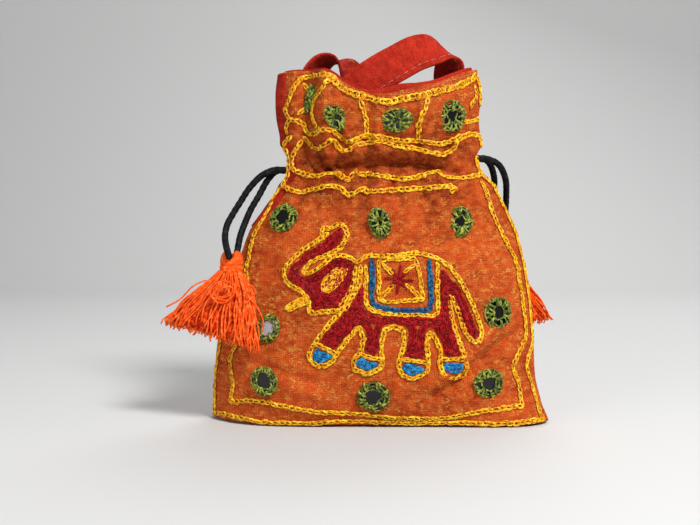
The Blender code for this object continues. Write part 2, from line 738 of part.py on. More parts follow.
chain_line(
    "elephant_back_line",
    (
        (307, 273), (317, 268), (327, 260), (337, 255.5), (347, 256.5), (356, 261), (368, 255.5),
        (383, 256.5), (410, 253.5), (426, 255), (440, 259), (450, 269), (460, 283), (469, 299),
        (476, 315), (482, 334), (480.5, 342), (474, 342), (465, 333),
    ),
    CHAIN_DIAMETER, yellow,
)
chain_line(
    "elephant_leg_line",
    (
        (454.2, 314), (454.8, 321), (457, 331), (460, 343), (464.5, 355), (467, 366), (464, 376),
        (453, 379), (443, 375.5), (441, 363), (441.5, 354), (437.5, 343), (432, 334), (428.5, 337),
        (427.5, 347), (429, 361), (428, 373), (414, 380), (401, 375), (398.5, 365),
        (402.5, 352), (405, 340), (403, 329.5), (394, 326), (385, 330), (382, 341), (381.5, 354),
        (383, 367), (368, 375), (354, 369), (352.5, 361), (361.5, 351), (363, 341),
        (361, 329.5), (357, 328), (349, 338), (342, 347), (336, 356), (332, 363),
        (319, 366.5), (309, 359), (311, 350), (318, 339), (328, 326), (340, 316),
    ),
    CHAIN_DIAMETER, yellow,
)
chain_line(
    "elephant_head_line",
    ((358, 268), (357.5, 280), (353, 293), (346, 303), (345, 306)),
    CHAIN_DIAMETER, yellow,
)
for foot, pixels in enumerate(
    (
        ((316, 350), (324, 351.5), (331, 356.5), (323, 361.5), (314.5, 360.5), (312.5, 355)),
        ((361, 358.5), (369, 362), (378, 364.5), (368, 370), (358, 366.5), (357, 361.5)),
        ((410, 364), (418, 366), (424, 368), (413.5, 375), (404, 371), (403, 366)),
        ((447, 364), (455, 364), (461.5, 366), (458.5, 373), (449, 373), (445, 368)),
    ),
    start=1,
):
    stitch_fill(f"elephant_foot_{foot}", pixels, bottom_layer, foot_blue)
chain_line(
    "saddle_border",
    (
        (366, 271), (366, 290), (366, 305), (371, 310), (384, 313.8), (400, 314.5), (420, 314.5),
        (435, 313), (436.5, 300), (436.5, 285), (436, 267),
    ),
    CHAIN_DIAMETER, yellow,
)
chain_line(
    "saddle_band",
    (
        (371.5, 262), (371.5, 280), (371.5, 300), (376, 306), (390, 309), (405, 310),
        (425, 309.5), (430.5, 304), (430.5, 285), (429, 264),
    ),
    SADDLE_BAND_DIAMETER, saddle_blue,
)
chain_line(
    "saddle_square",
    (
        (378.5, 263), (379, 280), (380, 298), (398, 302), (421, 300), (422.5, 290), (420, 276),
        (415.5, 262.5), (400, 262.5), (386, 263.5),
    ),
    CHAIN_DIAMETER, yellow,
)
star_centre = (399.5, 280)
star_points = []
for ray in range(16):
    reach = 13 if ray % 2 == 0 else 5.5
    angle = math.tau * ray / 16
    star_points.append(
        (star_centre[0] + math.cos(angle) * reach, star_centre[1] + math.sin(angle) * reach)
    )
stitch_fill("saddle_star", star_points, bottom_layer, red, step=40)

for number, pixel in enumerate(
    (
        (284, 219), (379.5, 222), (460, 222), (498, 314), (489, 385), (373.5, 396), (264, 383),
        (271, 329), (302, 104), (338, 119), (396, 121), (446, 117),
    ),
    start=1,
):
    rosette(number, pixel, mirror_glass, green)

drawcord(
    "drawcord_left", -1, 129.2,
    (
        (-76.4, -13.5, 88.4), (-78.4, -12.0, 94.0), (-77.6, -9.5, 100.0), (-74.5, -7.5, 106.5),
        (-71.0, -6.0, 113.0), (-66.5, -4.8, 120.0), (-60.5, -3.9, 126.2), (-54.0, -3.4, 129.2),
        (-47.6, -3.2, 129.2),
    ),
    (
        (-48.0, 2.6, 129.2), (-53.5, 1.0, 128.6), (-58.0, 0.2, 123.6), (-61.8, -1.4, 116.5),
        (-66.0, -3.4, 109.0), (-69.0, -6.4, 101.5), (-71.0, -9.6, 95.0), (-72.3, -12.9, 88.4),
    ),
    black_cord,
)
drawcord(
    "drawcord_right", 1, 135.2,
    (
        (64.4, 21.5, 89.4), (63.8, 21.0, 95.5), (63.0, 19.5, 102.0), (62.4, 17.0, 110.0),
        (62.0, 13.5, 118.0), (61.6, 9.5, 125.5), (59.0, 4.5, 132.0), (55.5, 1.6, 134.9),
        (50.5, 4.2, 135.2),
    ),
    (
        (50.5, -4.4, 135.2), (56.0, -3.2, 135.0), (62.5, -1.0, 132.0), (66.8, 4.5, 125.0),
        (68.2, 10.5, 117.0), (68.6, 15.5, 109.0), (68.8, 19.0, 101.5), (68.7, 21.0, 95.0),
        (68.5, 21.8, 89.4),
    ),
    black_cord,
)
tassel(
    "tassel_left",
    (
        ((-74.4, -13.6, 87.4), 3.6, 2.2, 0.0, 0),
        ((-74.5, -13.7, 85.8), 5.6, 4.8, 0.0, 0),
        ((-74.8, -13.8, 82.0), 6.4, 5.8, 0.0, 0),
        ((-75.2, -14.2, 78.6), 5.9, 5.3, 0.0, -6),
        ((-75.8, -15.4, 76.4), 6.6, 5.2, 0.0, -10),
        ((-77.6, -19.2, 67.0), 14.0, 5.2, -2.0, -18),
        ((-80.6, -22.0, 57.0), 20.5, 5.2, -3.4, -20),
        ((-84.6, -23.6, 46.0), 26.5, 4.4, -5.4, -21),
    ),
    -1, tassel_yarn,
)
tassel(
    "tassel_right",
    (
        ((66.4, 21.6, 88.9), 3.6, 2.2, 0.0, 0),
        ((66.5, 21.6, 87.0), 5.6, 4.8, 0.0, 0),
        ((66.8, 21.6, 82.8), 6.4, 5.8, 0.0, 0),
        ((67.1, 21.6, 79.2), 5.9, 5.3, 0.0, -6),
        ((67.5, 21.8, 77.0), 6.6, 5.2, 0.0, -10),
        ((69.4, 22.6, 68.0), 12.0, 5.2, 1.0, -17),
        ((71.2, 23.0, 58.0), 17.5, 5.2, 2.4, -20),
        ((73.0, 23.2, 47.0), 22.0, 4.4, 4.0, -21),
    ),
    1, tassel_yarn,
)
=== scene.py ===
"""Looks of a small gathered potli bag: embroidered cotton with an elephant and sewn-in mirrors.

Shapes are worked out in millimetres and put into meshes in metres. The embroidery is placed by points
of the front as the camera sees it, in the pixels of a 700 x 525 frame.
"""

import bpy
import numpy as np
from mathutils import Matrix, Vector


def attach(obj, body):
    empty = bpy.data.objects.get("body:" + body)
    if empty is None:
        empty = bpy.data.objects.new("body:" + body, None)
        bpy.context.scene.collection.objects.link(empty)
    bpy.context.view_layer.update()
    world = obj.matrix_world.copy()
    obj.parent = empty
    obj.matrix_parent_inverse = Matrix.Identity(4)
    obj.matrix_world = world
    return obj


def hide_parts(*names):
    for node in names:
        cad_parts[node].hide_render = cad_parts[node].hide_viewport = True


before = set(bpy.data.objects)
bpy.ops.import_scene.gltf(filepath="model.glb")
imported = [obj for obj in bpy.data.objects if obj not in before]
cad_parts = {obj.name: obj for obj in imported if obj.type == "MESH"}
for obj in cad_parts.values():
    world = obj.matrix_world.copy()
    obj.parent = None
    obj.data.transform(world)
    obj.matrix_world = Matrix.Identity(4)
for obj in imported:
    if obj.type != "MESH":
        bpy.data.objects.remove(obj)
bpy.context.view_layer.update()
chance = np.random.default_rng(7)
MM = 0.001

# The view: a short telephoto lens at the height of the bag's neck, half a metre away, tipped down a
# little, as the bag was seen.
CAMERA_PLACE = (-14.75, -532.0, 105.0)
FOCAL_PIXELS = 1020.0
FRAME_SIZE = (700, 525)
DOWN_SLOPE = 0.0446
lens = bpy.data.cameras.new("camera")
lens.sensor_width = 36
lens.lens = lens.sensor_width * FOCAL_PIXELS / FRAME_SIZE[0]
lens.clip_start = 0.01
camera = bpy.data.objects.new("camera", lens)
camera.location = [value * MM for value in CAMERA_PLACE]
camera.rotation_euler = (np.pi / 2 - np.arctan(DOWN_SLOPE), 0, 0)
bpy.context.scene.collection.objects.link(camera)
bpy.context.scene.camera = camera

# The bag's shape, which every piece below is laid on. A flat sewn bag of two panels, drawn in at the
# neck and filled out a little, stands as a row of level ovals.
LEFT, RIGHT, FRONT, BACK, SQUARE, SEAM_LEFT, SEAM_RIGHT = range(1, 8)
# Height; half widths left and right; depth to front and back; squareness; side seams' set-back
STATIONS = np.array((
    (0, 87.5, 87.5, 22.5, 22.5, 6.0, 4.0, -11.0),
    (8, 86.6, 84.6, 26.2, 25.6, 4.6, 3.0, -8.0),
    (22, 86.0, 81.6, 29.5, 29.2, 3.4, 1.5, -4.0),
    (42, 83.8, 81.0, 31.0, 32.8, 2.8, 0.0, -1.0),
    (62, 80.4, 79.2, 30.4, 32.4, 2.6, 0.0, 0.0),
    (82, 73.0, 76.0, 28.4, 29.0, 2.5, 0.0, 0.0),
    (98, 67.0, 71.5, 26.0, 26.0, 2.4, 0.0, 0.0),
    (110, 58.5, 65.8, 23.6, 23.0, 2.4, 0.0, 0.0),
    (120, 52.0, 61.0, 21.6, 20.5, 2.4, 0.0, 0.0),
    (126, 50.6, 57.8, 20.0, 18.6, 2.4, 0.0, 0.0),
    (132, 51.0, 55.2, 17.4, 17.0, 2.4, 0.0, 0.0),
    (138, 50.6, 54.4, 19.4, 18.8, 2.4, 0.0, 0.0),
    (146, 50.6, 53.0, 23.4, 21.8, 2.5, 0.0, 0.0),
    (156, 52.4, 52.0, 24.6, 22.8, 2.5, 0.0, 0.0),
    (168, 52.8, 53.0, 23.8, 23.0, 2.5, 0.0, 0.0),
    (181, 51.4, 51.0, 22.0, 22.4, 2.5, 0.0, 0.0),
))
GATHER_RISE = np.array((
    (0, 0), (88, 0), (104, 0.3), (118, 0.8), (128, 1), (140, 1), (154, 0.6), (181, 0.5),
))
RIM_FRONT = np.array((
    (-1.0, 179), (-0.72, 179), (-0.5, 177.5), (-0.34, 172), (-0.18, 167.5), (0.04, 166),
    (0.3, 169), (0.55, 172.5), (0.8, 177.5), (1.0, 181),
))
RIM_BACK = np.array(((-1.0, 179), (-0.5, 173), (0.0, 167), (0.25, 167), (0.6, 172), (1.0, 181)))
HALF_SEAM_GAP = 0.55
CLOTH_THICKNESS = 1.2
# Texture coordinates of the cloth are in decimetres
UV_UNIT = 100
# The front's pleats: from, to, depth; its straight folds: from, to, how far out, spread; its swellings:
# middle, reach, how far out
PLEATS = (
    ((-31, 140), (-24, 127), 4.2), ((-38, 140), (-31, 127), 3.6), ((-20, 148), (-13, 135), 2.6),
    ((-13, 128), (-16, 116), 1.5), ((8, 128), (5, 115), 1.5), ((27, 128), (31, 114), 1.6),
    ((40, 127), (45, 115), 1.4),
)
STRAIGHT_FOLDS = (
    ((47, 124), (54, 100), -2.8, 2.6), ((40, 122), (46, 98), 1.6, 3.4),
    ((-10, 117), (-16, 96), -2.2, 2.4), ((-3, 118), (-7, 100), 1.6, 2.8),
    ((23, 118), (29, 98), -2.2, 2.4), ((9, 119), (10, 108), -1.8, 2.0),
    ((-37, 121), (-47, 98), -2.6, 2.4), ((-44, 121), (-55, 98), 1.8, 2.8),
    ((-70, 34), (-30, 22), -1.8, 2.6), ((-66, 26), (-26, 14), 1.4, 3.4),
    ((-44, 92), (-32, 70), -1.6, 2.4), ((-50, 90), (-38, 66), 1.2, 3.0),
)
SWELLINGS = (
    ((-57, 66), (9, 17), -4.6), ((-29, 109), (9, 6), -4.4), ((-45, 96), (8, 12), 1.8),
    ((-2, 104), (16, 7), 1.6),
)


def catmull(before, start, end, after, share):
    """The cubic through start and end whose slopes are half the steps between their neighbours."""
    return 0.5 * (
        2 * start + (end - before) * share + (2 * before - 5 * start + 4 * end - after) * share**2
        + (3 * start - before - 3 * end + after) * share**3
    )


def read(table, at, column=1):
    """A smooth curve through a table's rows, held between each two of them."""
    at = np.clip(at, table[0, 0], table[-1, 0])
    low = np.clip(np.searchsorted(table[:, 0], at, side="right") - 1, 0, len(table) - 2)
    start, end = table[low, column], table[low + 1, column]
    before, after = table[np.maximum(low - 1, 0), column], table[np.minimum(low + 2, len(table) - 1), column]
    share = (at - table[low, 0]) / (table[low + 1, 0] - table[low, 0])
    value = catmull(before, start, end, after, share)
    return np.clip(value, np.minimum(start, end), np.maximum(start, end))


def smooth(points, step, closed=False):
    """Points about a step apart on the Catmull-Rom curve through the given rows of numbers."""
    points = np.array(points, float)
    if closed:
        points = np.vstack([points[-1:], points, points[:2]])
    else:
        points = np.vstack([2 * points[0] - points[1], points, 2 * points[-1] - points[-2]])
    runs = []
    for i in range(1, len(points) - 2):
        pieces = max(1, round(float(np.linalg.norm(points[i + 1] - points[i])) / step))
        share = np.arange(pieces)[:, None] / pieces
        runs.append(catmull(points[i - 1], points[i], points[i + 1], points[i + 2], share))
    if not closed:
        runs.append(points[-2:-1])
    return np.vstack(runs)


def evenly(route, pitch):
    """The same route with its points a pitch apart, by the length along it."""
    steps = np.linalg.norm(np.diff(route, axis=0), axis=1)
    along = np.concatenate([[0], np.cumsum(steps)])
    count = max(2, int(round(along[-1] / pitch)) + 1)
    at = np.linspace(0, along[-1], count)
    return np.stack([np.interp(at, along, route[:, k]) for k in range(route.shape[1])], -1)


def length_of(route):
    """The length along a route."""
    return np.linalg.norm(np.diff(route, axis=0), axis=1).sum()


def unit(vectors):
    """The same vectors at length 1."""
    return vectors / np.maximum(np.linalg.norm(vectors, axis=-1, keepdims=True), 1e-9)


def hill(x, up, centre, spread):
    """A round-topped hill of height 1: exp(-(dx / sx)^2 - (dz / sz)^2)."""
    return np.exp(-(((x - centre[0]) / spread[0]) ** 2) - ((up - centre[1]) / spread[1]) ** 2)


def groove(x, up, start, end, spread):
    """A straight trough of height 1 from start to end: exp(-(distance / spread)^2), eased at its ends."""
    way = np.subtract(end, start)
    long = float(np.hypot(*way))
    run = ((x - start[0]) * way[0] + (up - start[1]) * way[1]) / long
    off = ((x - start[0]) * way[1] - (up - start[1]) * way[0]) / long
    eased = ease(run, -spread, spread) * (1 - ease(run, long - spread, long + spread))
    return np.exp(-((off / spread) ** 2)) * eased


def ease(value, low, high):
    """0 below low, 1 above high, and a smooth step between."""
    share = np.clip((value - low) / (high - low), 0, 1)
    return share * share * (3 - 2 * share)


def front_folds(x, up):
    """How far the front stands out from its plain oval: the sum of the drawstring's pleats, the fold
    that hangs over the neck, the ruffle's turned corner, one slack crease and soft unevenness."""
    crease = 131.8 - 0.0036 * (x - 3) ** 2
    middle = ease(x, -36, -24) * (1 - ease(x, 36, 47))
    gulf = middle * np.exp(-(((up - crease) / 2.2) ** 2))
    rise = read(GATHER_RISE, up) * (1 - 0.75 * gulf)
    sway = x + 0.12 * (up - 132) * np.sin(x / 19)
    out = 1.5 * rise * np.cos(sway / 2.4 + 1.1 * np.sin(sway / 13))
    out = out + 0.8 * rise * np.cos(sway / 1.33 + 0.9) - 4.6 * gulf
    out = out + 3.8 * middle * np.exp(-(((up - crease - 6.0) / 3.6) ** 2))
    out = out + 0.4 * rise * ease(up, 138, 146) * np.cos(x / 3.4 + 0.6 * np.sin(x / 7))
    for start, end, deep in PLEATS:
        out = out - deep * groove(x, up, start, end, 1.3)
        out = out + 0.6 * deep * groove(x - 2.6, up, start, end, 1.6)
    corner = ease(up, 134, 146)
    out = out - 7.6 * corner * np.exp(-(((x + 37) / 4.4) ** 2))
    out = out + 4.2 * corner * np.exp(-(((x + 28) / 3.2) ** 2))
    run = -(x - 72) * 0.838 - (up - 47) * 0.547
    off = -(x - 72) * 0.547 + (up - 47) * 0.838 - 1.6 * np.sin(run / 11)
    slack = ease(run, -6, 10) * (1 - ease(run, 46, 64))
    out = out + slack * (-3.4 * np.exp(-((off / 2.2) ** 2)) + 3.0 * np.exp(-(((off - 5.2) / 3.8) ** 2)))
    for centre, reach, height in SWELLINGS:
        out = out + height * hill(x, up, centre, reach)
    for start, end, height, spread in STRAIGHT_FOLDS:
        out = out + height * groove(x, up, start, end, spread)
    out = out + 0.5 * np.sin(x / 8.7 + up / 13) + 0.35 * np.sin(x / 5.9 - up / 16 + 2)
    return out + 0.3 * np.sin(up / 6.4 + x / 20 + 1)


def back_folds(x, up):
    """How far the back stands out from its plain oval: pleats and soft unevenness, as sine waves."""
    rise = read(GATHER_RISE, up)
    out = 1.9 * rise * np.cos(x / 2.5 + 0.9 * np.sin(x / 12)) + 0.6 * rise * np.cos(x / 1.4)
    out = out - 1.4 * np.exp(-(((up - 131) / 3) ** 2))
    return out + 0.6 * np.sin(x / 10 + up / 15) + 0.4 * np.sin(up / 9 - x / 14)


def side_x(across, up):
    """X of a place across the bag: -1 is the left side seam and 1 the right one."""
    left, right = read(STATIONS, up, LEFT), read(STATIONS, up, RIGHT)
    return (right - left) / 2 + across * (right + left) / 2


def cloth(across, up, side, inset=0.0, end_inset=0.0, folded=1.0):
    """Points of the cloth. A level is an oval whose depth goes as (1 - |across|^n)^0.7, plus folds."""
    across, up = np.broadcast_arrays(np.asarray(across, float), np.asarray(up, float))
    size = np.abs(across)
    bulge = np.maximum(1 - size ** read(STATIONS, up, SQUARE), 0) ** (0.8 if side == FRONT else 0.7)
    seam = np.where(across > 0, read(STATIONS, up, SEAM_RIGHT), read(STATIONS, up, SEAM_LEFT)) * size**3
    half_width = (side_x(1, up) - side_x(-1, up)) / 2
    x = side_x(across * (1 - end_inset / half_width), up)
    folds = front_folds(x, up) if side == FRONT else back_folds(x, up)
    deep = (read(STATIONS, up, side) - inset) * bulge + folded * folds * bulge * ease(up, 0, 9)
    turn = -1 if side == FRONT else 1
    return np.stack([x, turn * (deep + HALF_SEAM_GAP) + seam, up], -1)


def open_edge(up):
    """The half width that the panels keep at a height, as a share: less over the cords' slots."""
    return 1 - 0.075 * (1 - ease(np.abs(up - 132), 4.5, 11))


def facing(across, up):
    """The front's outward normals, from the cross product of steps across and up."""
    left, right = (cloth(np.clip(across + step, -1, 1), up, FRONT) for step in (-0.006, 0.006))
    below, above = (cloth(across, up + step, FRONT) for step in (-0.5, 0.5))
    return unit(np.cross(right - left, above - below))


def seen(pixels, deep):
    """The places at given depths behind points of the view."""
    pixels = np.array(pixels, float)
    away = deep - CAMERA_PLACE[1]
    x = CAMERA_PLACE[0] + (pixels[..., 0] - FRAME_SIZE[0] / 2) / FOCAL_PIXELS * away
    up = CAMERA_PLACE[2] - ((pixels[..., 1] - FRAME_SIZE[1] / 2) / FOCAL_PIXELS + DOWN_SLOPE) * away
    return np.stack([x, np.broadcast_to(deep, x.shape), up], -1)


def on_front(pixels):
    """Places and normals on the front under points of the view: the line of sight is followed to the
    depth of the cloth there, and again from each new place until it settles."""
    pixels = np.atleast_2d(np.array(pixels, float))
    deep = np.full(len(pixels), -22.0)
    for _ in range(10):
        x, _, up = seen(pixels, deep).T
        low, high = side_x(-1, up), side_x(1, up)
        edge = 0.985 * open_edge(up)
        across = np.clip((2 * x - low - high) / (high - low), -edge, edge)
        up = np.clip(up, 1.6, read(RIM_FRONT, across) - 1.6)
        deep = deep * 0.4 + cloth(across, up, FRONT)[:, 1] * 0.6
    return cloth(across, up, FRONT), facing(across, up)


def put_mesh(name, points, faces, finish, uv=None):
    """A smooth mesh of points in mm and rows of corner numbers, which rides with the bag."""
    mesh = bpy.data.meshes.new(name)
    mesh.from_pydata((points * MM).tolist(), [], faces)
    if uv is not None:
        corners = np.empty(len(mesh.loops), np.int32)
        mesh.loops.foreach_get("vertex_index", corners)
        mesh.uv_layers.new(name="UVMap").data.foreach_set("uv", uv[corners].astype(np.float32).ravel())
    mesh.shade_smooth()
    mesh.materials.append(finish)
    piece = bpy.data.objects.new(name, mesh)
    bpy.context.scene.collection.objects.link(piece)
    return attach(piece, "root")


def grid_faces(rows, columns, closed=False):
    """Faces between the rows of a grid of points; a closed one joins its last column to its first."""
    steps = np.arange(columns if closed else columns - 1)
    row, column = np.meshgrid(np.arange(rows - 1) * columns, steps, indexing="ij")
    beside = (column + 1) % columns
    corners = (row + column, row + beside, row + columns + beside, row + columns + column)
    return np.stack(corners, -1).reshape(-1, 4)


def tube_faces(rows, around, turned=False):
    """Faces of a tube closed at both ends; a turned one has its faces the other way round."""
    quads = grid_faces(rows, around, closed=True)
    first, last = list(range(around)), list(range((rows - 1) * around, rows * around))
    if turned:
        return quads[:, [0, 3, 2, 1]].tolist() + [first, last[::-1]]
    return quads.tolist() + [first[::-1], last]


def tubes(routes, radius, sides=4, lean=(0.2, -1.0, 0.3), closed=False):
    """Round threads along many routes at once. Each point carries a ring of corners,
    radius * (cos * side + sin * top), where side and top are square to the way the thread runs."""
    routes = np.asarray(routes, float)
    count, length = routes.shape[:2]
    if closed:
        ahead = np.roll(routes, -1, 1) - np.roll(routes, 1, 1)
    else:
        ahead = np.gradient(routes, axis=1)
    ahead = unit(ahead)
    side = unit(np.cross(ahead, np.broadcast_to(lean, routes.shape)))
    top = np.cross(side, ahead)
    turn = np.arange(sides) / sides * 2 * np.pi
    thick = np.broadcast_to(np.asarray(radius, float), (count, length))[:, :, None, None]
    ring = np.cos(turn)[:, None] * side[:, :, None] + np.sin(turn)[:, None] * top[:, :, None]
    points = (routes[:, :, None] + thick * ring).reshape(-1, 3)
    quad = grid_faces(length + closed, sides, closed=True) % (length * sides)
    start = (np.arange(count) * length * sides)[:, None, None]
    faces = (start + quad[None, :, ::-1]).reshape(-1, 4).tolist()
    if not closed:
        first = np.arange(sides)
        faces += (start[:, 0] + first).tolist()
        faces += (start[:, 0] + (length - 1) * sides + first[::-1]).tolist()
    return points, faces


def joined(parts):
    """Several sets of points and faces as one."""
    points, faces, start = [], [], 0
    for some, theirs in parts:
        points.append(some)
        faces += [[corner + start for corner in face] for face in theirs]
        start += len(some)
    return np.vstack(points), faces


# Drawcords: black braided cotton, 3 mm thick. Each is one loop, from its tassel through the channel
# round the neck and back to the tassel, so that pulling both closes the bag.
CORD_RADIUS = 1.6


def mixed(nodes, links, factor, first, second):
    """A colour mix node: factor, first and second are sockets or plain values."""
    mix = nodes.new("ShaderNodeMix")
    mix.data_type = "RGBA"
    for name, value in (("Factor", factor), ("A", first), ("B", second)):
        socket = mix.inputs[name]
        if isinstance(value, bpy.types.NodeSocket):
            links.new(value, socket)
        else:
            socket.default_value = value if isinstance(value, float) else (*value, 1)
    return mix.outputs["Result"]


def ranged(nodes, links, value, low, high):
    """A value spread from low..high to 0..1 and held there."""
    spread = nodes.new("ShaderNodeMapRange")
    spread.inputs["From Min"].default_value = low
    spread.inputs["From Max"].default_value = high
    links.new(value, spread.inputs["Value"])
    return spread.outputs["Result"]


def new_group(name, colours, values):
    """An empty node group that takes those colours and values and gives a colour and a height."""
    group = bpy.data.node_groups.new(name, "ShaderNodeTree")
    face = group.interface
    for label in colours:
        face.new_socket(label, in_out="INPUT", socket_type="NodeSocketColor")
    for label, value in values:
        face.new_socket(label, in_out="INPUT", socket_type="NodeSocketFloat").default_value = value
    face.new_socket("Colour", in_out="OUTPUT", socket_type="NodeSocketColor")
    face.new_socket("Height", in_out="OUTPUT", socket_type="NodeSocketFloat")
    source, result = group.nodes.new("NodeGroupInput"), group.nodes.new("NodeGroupOutput")
    return group, source.outputs, result.inputs


def thread_group():
    """Spun thread: fine noise runs from dark to body colour and is the height, so the dark is partly grain
    and partly painted shade in the hollows; broad noise adds the light colour in patches as painted
    highlights.
    """
    group, source, result = new_group("spun thread", ("Dark", "Body", "Light"), (("Grain", 900),))
    nodes, links = group.nodes, group.links
    where = nodes.new("ShaderNodeTexCoord")
    fine, broad = nodes.new("ShaderNodeTexNoise"), nodes.new("ShaderNodeTexNoise")
    fine.inputs["Detail"].default_value = 3
    broad.inputs["Scale"].default_value = 520
    for noise in (fine, broad):
        links.new(where.outputs["Object"], noise.inputs["Vector"])
    links.new(source["Grain"], fine.inputs["Scale"])
    # Partly painted shade: the dark colour lies where the thread's relief is low.
    spread = ranged(nodes, links, fine.outputs["Fac"], 0.36, 0.66)
    # Painted highlights: patches of the light colour.
    lift = ranged(nodes, links, broad.outputs["Fac"], 0.46, 0.68)
    body = mixed(nodes, links, spread, source["Dark"], source["Body"])
    colour = mixed(nodes, links, lift, body, source["Light"])
    links.new(mixed(nodes, links, 0.8, body, colour), result["Colour"])
    links.new(fine.outputs["Fac"], result["Height"])
    return group


spun_thread = thread_group()
THREAD_RELIEF = 0.0001


def set_inputs(node, settings):
    """Puts plain values and colours into a node's inputs by name."""
    for label, value in settings.items():
        node.inputs[label].default_value = (*value, 1) if isinstance(value, tuple) else value


def new_finish(name, settings):
    """A material on the plain shader, with those of the shader's inputs set."""
    finish = bpy.data.materials.new(name)
    finish.use_nodes = True
    set_inputs(finish.node_tree.nodes["Principled BSDF"], settings)
    return finish


def patterned(finish, group, settings, relief):
    """The same material with a node group's colour on it and its height as a relief so deep."""
    nodes, links = finish.node_tree.nodes, finish.node_tree.links
    shader = nodes["Principled BSDF"]
    pattern = nodes.new("ShaderNodeGroup")
    pattern.node_tree = group
    set_inputs(pattern, settings)
    bump = nodes.new("ShaderNodeBump")
    bump.inputs["Distance"].default_value = relief
    links.new(pattern.outputs["Colour"], shader.inputs["Base Color"])
    links.new(pattern.outputs["Height"], bump.inputs["Height"])
    links.new(bump.outputs["Normal"], shader.inputs["Normal"])
    return finish


def thread_finish(name, dark, body, light, grain=900.0, roughness=0.45, gloss=0.3):
    """A thread's material: the spun-thread group on a plain shader, with its light colour as painted
    highlights and its dark colour partly as painted shade.
    """
    finish = new_finish(name, {"Roughness": roughness, "Specular IOR Level": gloss})
    settings = {"Dark": dark, "Body": body, "Light": light, "Grain": grain}
    return patterned(finish, spun_thread, settings, THREAD_RELIEF)


def braided_cord(route):
    """A braid's surface: a tube whose radius rises where either of two opposite helices passes,
    r * (0.98 + 0.12 * the greater of cos(4a + ks) and cos(4a - ks)), with round ends."""
    step, sides = 0.36, 16
    route = evenly(route, step)
    ahead = unit(np.gradient(route, axis=0))
    side = unit(np.cross(ahead, (0.31, 0.72, 0.62)))
    top = np.cross(side, ahead)
    along = np.arange(len(route))[:, None] * step
    turn = np.arange(sides) / sides * 2 * np.pi
    strands = np.maximum(np.cos(4 * turn + 1.9 * along), np.cos(4 * turn - 1.9 * along))
    from_end = np.minimum(along, along[::-1])
    thick = CORD_RADIUS * (0.98 + 0.12 * strands) * np.sqrt(ease(from_end + 0.3, 0, 1.2))
    points = route[:, None] + thick[..., None] * (
        np.cos(turn)[None, :, None] * side[:, None] + np.sin(turn)[None, :, None] * top[:, None]
    )
    return points.reshape(-1, 3), tube_faces(len(route), sides, turned=True), route


def channel(level, front_first):
    """Half-ovals round the neck, between cloth and lining: the front's from left to right, and the
    back's from right to left."""
    across = np.sin(np.linspace(-0.8, 0.8, 11) * np.pi / 2)
    front = cloth(across, level, FRONT, 8.4, 6.8, 0.0)
    back = cloth(across[::-1], level, BACK, 5.2, 6.8, 0.0)
    return np.vstack([front, back] if front_first else [back, front])


CORD_LEFT = smooth(np.vstack([
    (
        (-75.2, -19.6, 83.6), (-76.0, -19.0, 86.4), (-77.6, -15.6, 90.8), (-78.4, -12.4, 95.5),
        (-77.6, -9.5, 101.0), (-74.9, -7.5, 106.5), (-71.0, -6.0, 113.0), (-66.5, -4.8, 120.0),
        (-60.5, -3.9, 126.2), (-54.0, -3.4, 129.2), (-47.6, -3.2, 129.2),
    ),
    channel(129.2, True),
    (
        (-48.0, 2.6, 129.2), (-53.5, 1.0, 128.6), (-58.0, 0.2, 123.6), (-61.8, -1.4, 116.5),
        (-66.0, -3.4, 109.0), (-69.0, -6.4, 101.5), (-71.0, -9.6, 95.0), (-72.1, -12.7, 88.0),
        (-72.6, -14.0, 84.5),
    ),
]), 1.5)
CORD_RIGHT = smooth(np.vstack([
    (
        (65.2, 21.8, 85.5), (64.4, 21.5, 89.6), (63.8, 21.0, 95.5), (63.0, 19.5, 102.0),
        (62.4, 17.0, 110.0), (62.0, 13.5, 118.0), (61.6, 9.5, 125.5), (59.0, 4.5, 132.0),
        (55.5, 1.6, 134.9), (50.5, 4.2, 135.2),
    ),
    channel(135.2, False),
    (
        (50.5, -4.4, 135.2), (56.0, -3.2, 135.0), (62.5, -1.0, 132.0), (66.8, 4.5, 125.0),
        (68.2, 10.5, 117.0), (68.6, 15.5, 109.0), (68.8, 19.0, 101.5), (68.7, 21.0, 95.0),
        (68.5, 21.8, 89.6), (68.0, 21.8, 85.5),
    ),
]), 1.5)
# The braid's light colour goes on as painted highlights and its dark colour partly as painted shade.
black_braid = thread_finish(
    "black braided cotton", (0.002, 0.002, 0.002), (0.005, 0.005, 0.006), (0.016, 0.016, 0.018),
    700.0, 0.65, 0.12,
)
cords = []
for name, route in (("drawcord_left", CORD_LEFT), ("drawcord_right", CORD_RIGHT)):
    points, faces, line = braided_cord(route)
    piece = put_mesh(name + "_braid", points, faces, black_braid)
    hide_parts(name)
    cords.append((piece, line))

# Tassels: orange wool yarn, folded over the cord's ends, bound under the fold and cut off below, where
# it lies fanned out to one side.
# The wool's light colour goes on as painted highlights and its dark colour partly as painted shade.
DARK_WOOL, WOOL, LIGHT_WOOL = (0.78, 0.060, 0.003), (0.93, 0.115, 0.010), (1.0, 0.24, 0.055)
# Share of the way down; middle x, y, z; half width; half depth; rise of the right end; turn
SKIRT_LEFT = np.array((
    (0.0, -75.6, -15.0, 77.6, 5.6, 4.6, 0.0, -8), (0.1, -76.0, -16.2, 74.0, 8.6, 5.0, -0.4, -12),
    (0.33, -77.4, -19.2, 66.5, 15.0, 5.2, -2.0, -18), (0.67, -80.6, -22.0, 57.0, 21.0, 5.2, -3.6, -20),
    (1.0, -84.6, -23.8, 46.0, 26.0, 4.4, -5.4, -21),
))
SKIRT_RIGHT = np.array((
    (0.0, 67.3, 21.7, 78.0, 5.6, 4.6, 0.0, -8), (0.1, 67.8, 22.0, 74.6, 8.0, 5.0, 0.3, -12),
    (0.33, 69.4, 22.6, 68.0, 12.6, 5.2, 1.0, -17), (0.67, 71.2, 23.0, 58.0, 17.5, 5.2, 2.4, -20),
    (1.0, 73.0, 23.2, 47.0, 22.0, 4.4, 4.0, -21),
))


